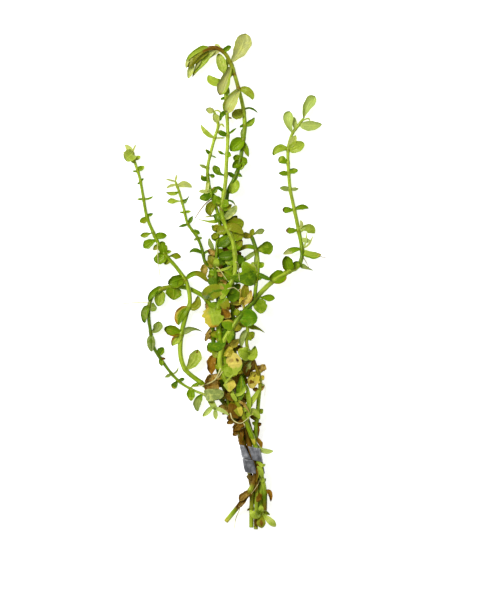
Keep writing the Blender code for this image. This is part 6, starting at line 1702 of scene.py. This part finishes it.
class RotalaStage(bpy.types.PropertyGroup):
    """Table, light and camera."""

    table_colour: bpy.props.FloatVectorProperty(
        name="Table Colour", description="Colour of the table", size=3, subtype="COLOR",
        default=(0.8, 0.8, 0.8), min=0.0, max=1.0)
    table_glow: bpy.props.FloatProperty(
        name="Table Glow", description="Light that the table gives off, which keeps it plain white",
        default=0.72, min=0.0, max=2.0)
    sky_strength: bpy.props.FloatProperty(
        name="Sky Strength", description="Strength of the even light from all round",
        default=0.41, min=0.0, max=4.0)
    lamp_power: bpy.props.FloatProperty(
        name="Lamp Power", description="Power of the soft lamp overhead",
        default=6.6, min=0.0, max=100.0, unit="POWER")
    camera_height: bpy.props.FloatProperty(
        name="Camera Height", description="Height of the camera over the table",
        default=1.6, min=0.3, max=5.0, unit="LENGTH")
    view_length: bpy.props.FloatProperty(
        name="View Length", description="Length of table that the picture shows from bottom to top",
        default=0.3, min=0.1, max=1.0, unit="LENGTH")


class RotalaSettings(bpy.types.PropertyGroup):
    """Everything about the bunch that can be changed."""

    colours: bpy.props.PointerProperty(type=RotalaColours)
    leaves: bpy.props.PointerProperty(type=RotalaLeaves)
    stems: bpy.props.PointerProperty(type=RotalaStems)
    tie: bpy.props.PointerProperty(type=RotalaTie)
    stage: bpy.props.PointerProperty(type=RotalaStage)


class ROTALA_OT_add_shoots(bpy.types.Operator):
    """Adds the leafy shoots, each one piece with its stem, leaves and roots"""

    bl_idname = "rotala.add_shoots"
    bl_label = "Add Shoots"

    def execute(self, context):
        settings = context.scene.rotala
        finishes = [stem_finish(settings.stems), leaf_finish(settings.leaves), root_finish()]
        shoots = [drooping_shoot(), short_left_shoot(), far_left_shoot(), left_inner_shoot(),
                  tall_arching_shoot(), short_right_shoot(), upright_shoot(), bare_stem(),
                  fork_branch(), right_shoot()]
        settle_all(shoots, [strip_solid(*strip) for strip in STRIPS.values()])
        shapes = {}
        trees = {}
        for shoot in shoots:
            shapes[shoot["name"]] = Shape()
            add_stem(shapes[shoot["name"]], shoot, settings.stems)
            trees[shoot["name"]] = [tree_of(shapes[shoot["name"]].corners, shapes[shoot["name"]].faces)]
        for number, (shoot, item) in enumerate((shoot, item) for shoot in shoots
                                               for item in shoot["leaves"] + list(shoot["scraps"])):
            if item["settled"]:
                others = [tree for name, kept in trees.items() if name != shoot["name"] for tree in kept]
                for ease in EASES:
                    trial = Shape()
                    add_leaf(trial, shoot, item, number, ease, settings.leaves)
                    tree = tree_of(trial.corners, trial.faces)
                    if ease == EASES[-1] or not touches(tree, others):
                        break
                shapes[shoot["name"]].add(trial.corners, trial.faces, 1, trial.values)
                trees[shoot["name"]].append(tree)
        ground = [tree for kept in trees.values() for tree, _, _ in kept]
        for shoot in shoots:
            shape = shapes[shoot["name"]]
            for item in shoot["roots"]:
                add_root(shape, shoot, item, ground)
            piece = shape.to_object(shoot["name"].rsplit("_", 1)[0] + "_growth", finishes)
            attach(piece, "root")
            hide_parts(shoot["name"])
        return {"FINISHED"}


class ROTALA_OT_add_strips(bpy.types.Operator):
    """Adds the soft metal strips wound round the bunch"""

    bl_idname = "rotala.add_strips"
    bl_label = "Add Lead Strips"

    def execute(self, context):
        settings = context.scene.rotala.tie
        finish = lead_finish(settings)
        for name, strip in STRIPS.items():
            piece = strip_shape(*strip, settings).to_object(name.replace("lead_strip", "tie_strip"), [finish])
            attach(piece, "root")
            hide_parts(name)
        return {"FINISHED"}


class ROTALA_OT_add_stage(bpy.types.Operator):
    """Adds the table, the light and the camera"""

    bl_idname = "rotala.add_stage"
    bl_label = "Add Stage"

    def execute(self, context):
        settings = context.scene.rotala.stage
        mesh = bpy.data.meshes.new("white_table")
        reach = TABLE_MARGIN
        mesh.from_pydata([(-reach, -reach, 0), (reach, -reach, 0), (reach, reach, 0), (-reach, reach, 0)],
                         [], [(0, 1, 2, 3)])
        mesh.materials.append(table_finish(settings))
        table = bpy.data.objects.new("white_table", mesh)
        context.scene.collection.objects.link(table)
        world = bpy.data.worlds.new("white_room")
        world.use_nodes = True
        sky = world.node_tree.nodes["Background"]
        sky.inputs["Color"].default_value = (1.0, 1.0, 1.0, 1.0)
        sky.inputs["Strength"].default_value = settings.sky_strength
        context.scene.world = world
        lamp = bpy.data.lights.new("soft_lamp", "AREA")
        lamp.shape = "DISK"
        lamp.size = LAMP_SIZE
        lamp.energy = settings.lamp_power
        lamp_object = bpy.data.objects.new("soft_lamp", lamp)
        lamp_object.location = LAMP_PLACE
        lamp_object.rotation_euler = (-Vector(LAMP_PLACE)).to_track_quat("-Z", "Y").to_euler()
        context.scene.collection.objects.link(lamp_object)
        camera = bpy.data.cameras.new("camera")
        camera.lens = camera.sensor_width * settings.camera_height / settings.view_length
        camera_object = bpy.data.objects.new("camera", camera)
        camera_object.location = (*VIEW_CENTRE, settings.camera_height)
        context.scene.collection.objects.link(camera_object)
        context.scene.camera = camera_object
        context.scene.view_settings.view_transform = "Standard"
        return {"FINISHED"}


class ROTALA_PT_sidebar(bpy.types.Panel):
    """Lists the bunch's settings and its pieces"""

    bl_idname = "ROTALA_PT_sidebar"
    bl_label = "Rotala Bunch"
    bl_space_type = "VIEW_3D"
    bl_region_type = "UI"
    bl_category = "Rotala"

    def draw(self, context):
        settings = context.scene.rotala
        for group in (settings.leaves, settings.stems, settings.tie, settings.stage, settings.colours):
            box = self.layout.box()
            for name in group.__annotations__:
                box.prop(group, name)
        for operator in OPERATORS:
            self.layout.operator(operator.bl_idname)


OPERATORS = (ROTALA_OT_add_shoots, ROTALA_OT_add_strips, ROTALA_OT_add_stage)
CLASSES = (RotalaColours, RotalaLeaves, RotalaStems, RotalaTie, RotalaStage, RotalaSettings,
           *OPERATORS, ROTALA_PT_sidebar)


def register():
    for made in CLASSES:
        bpy.utils.register_class(made)
    bpy.types.Scene.rotala = bpy.props.PointerProperty(type=RotalaSettings)


def unregister():
    del bpy.types.Scene.rotala
    for made in reversed(CLASSES):
        bpy.utils.unregister_class(made)


def main():
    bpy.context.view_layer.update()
    register()
    bpy.ops.rotala.add_shoots()
    bpy.ops.rotala.add_strips()
    bpy.ops.rotala.add_stage()


if __name__ == "__main__":
    main()
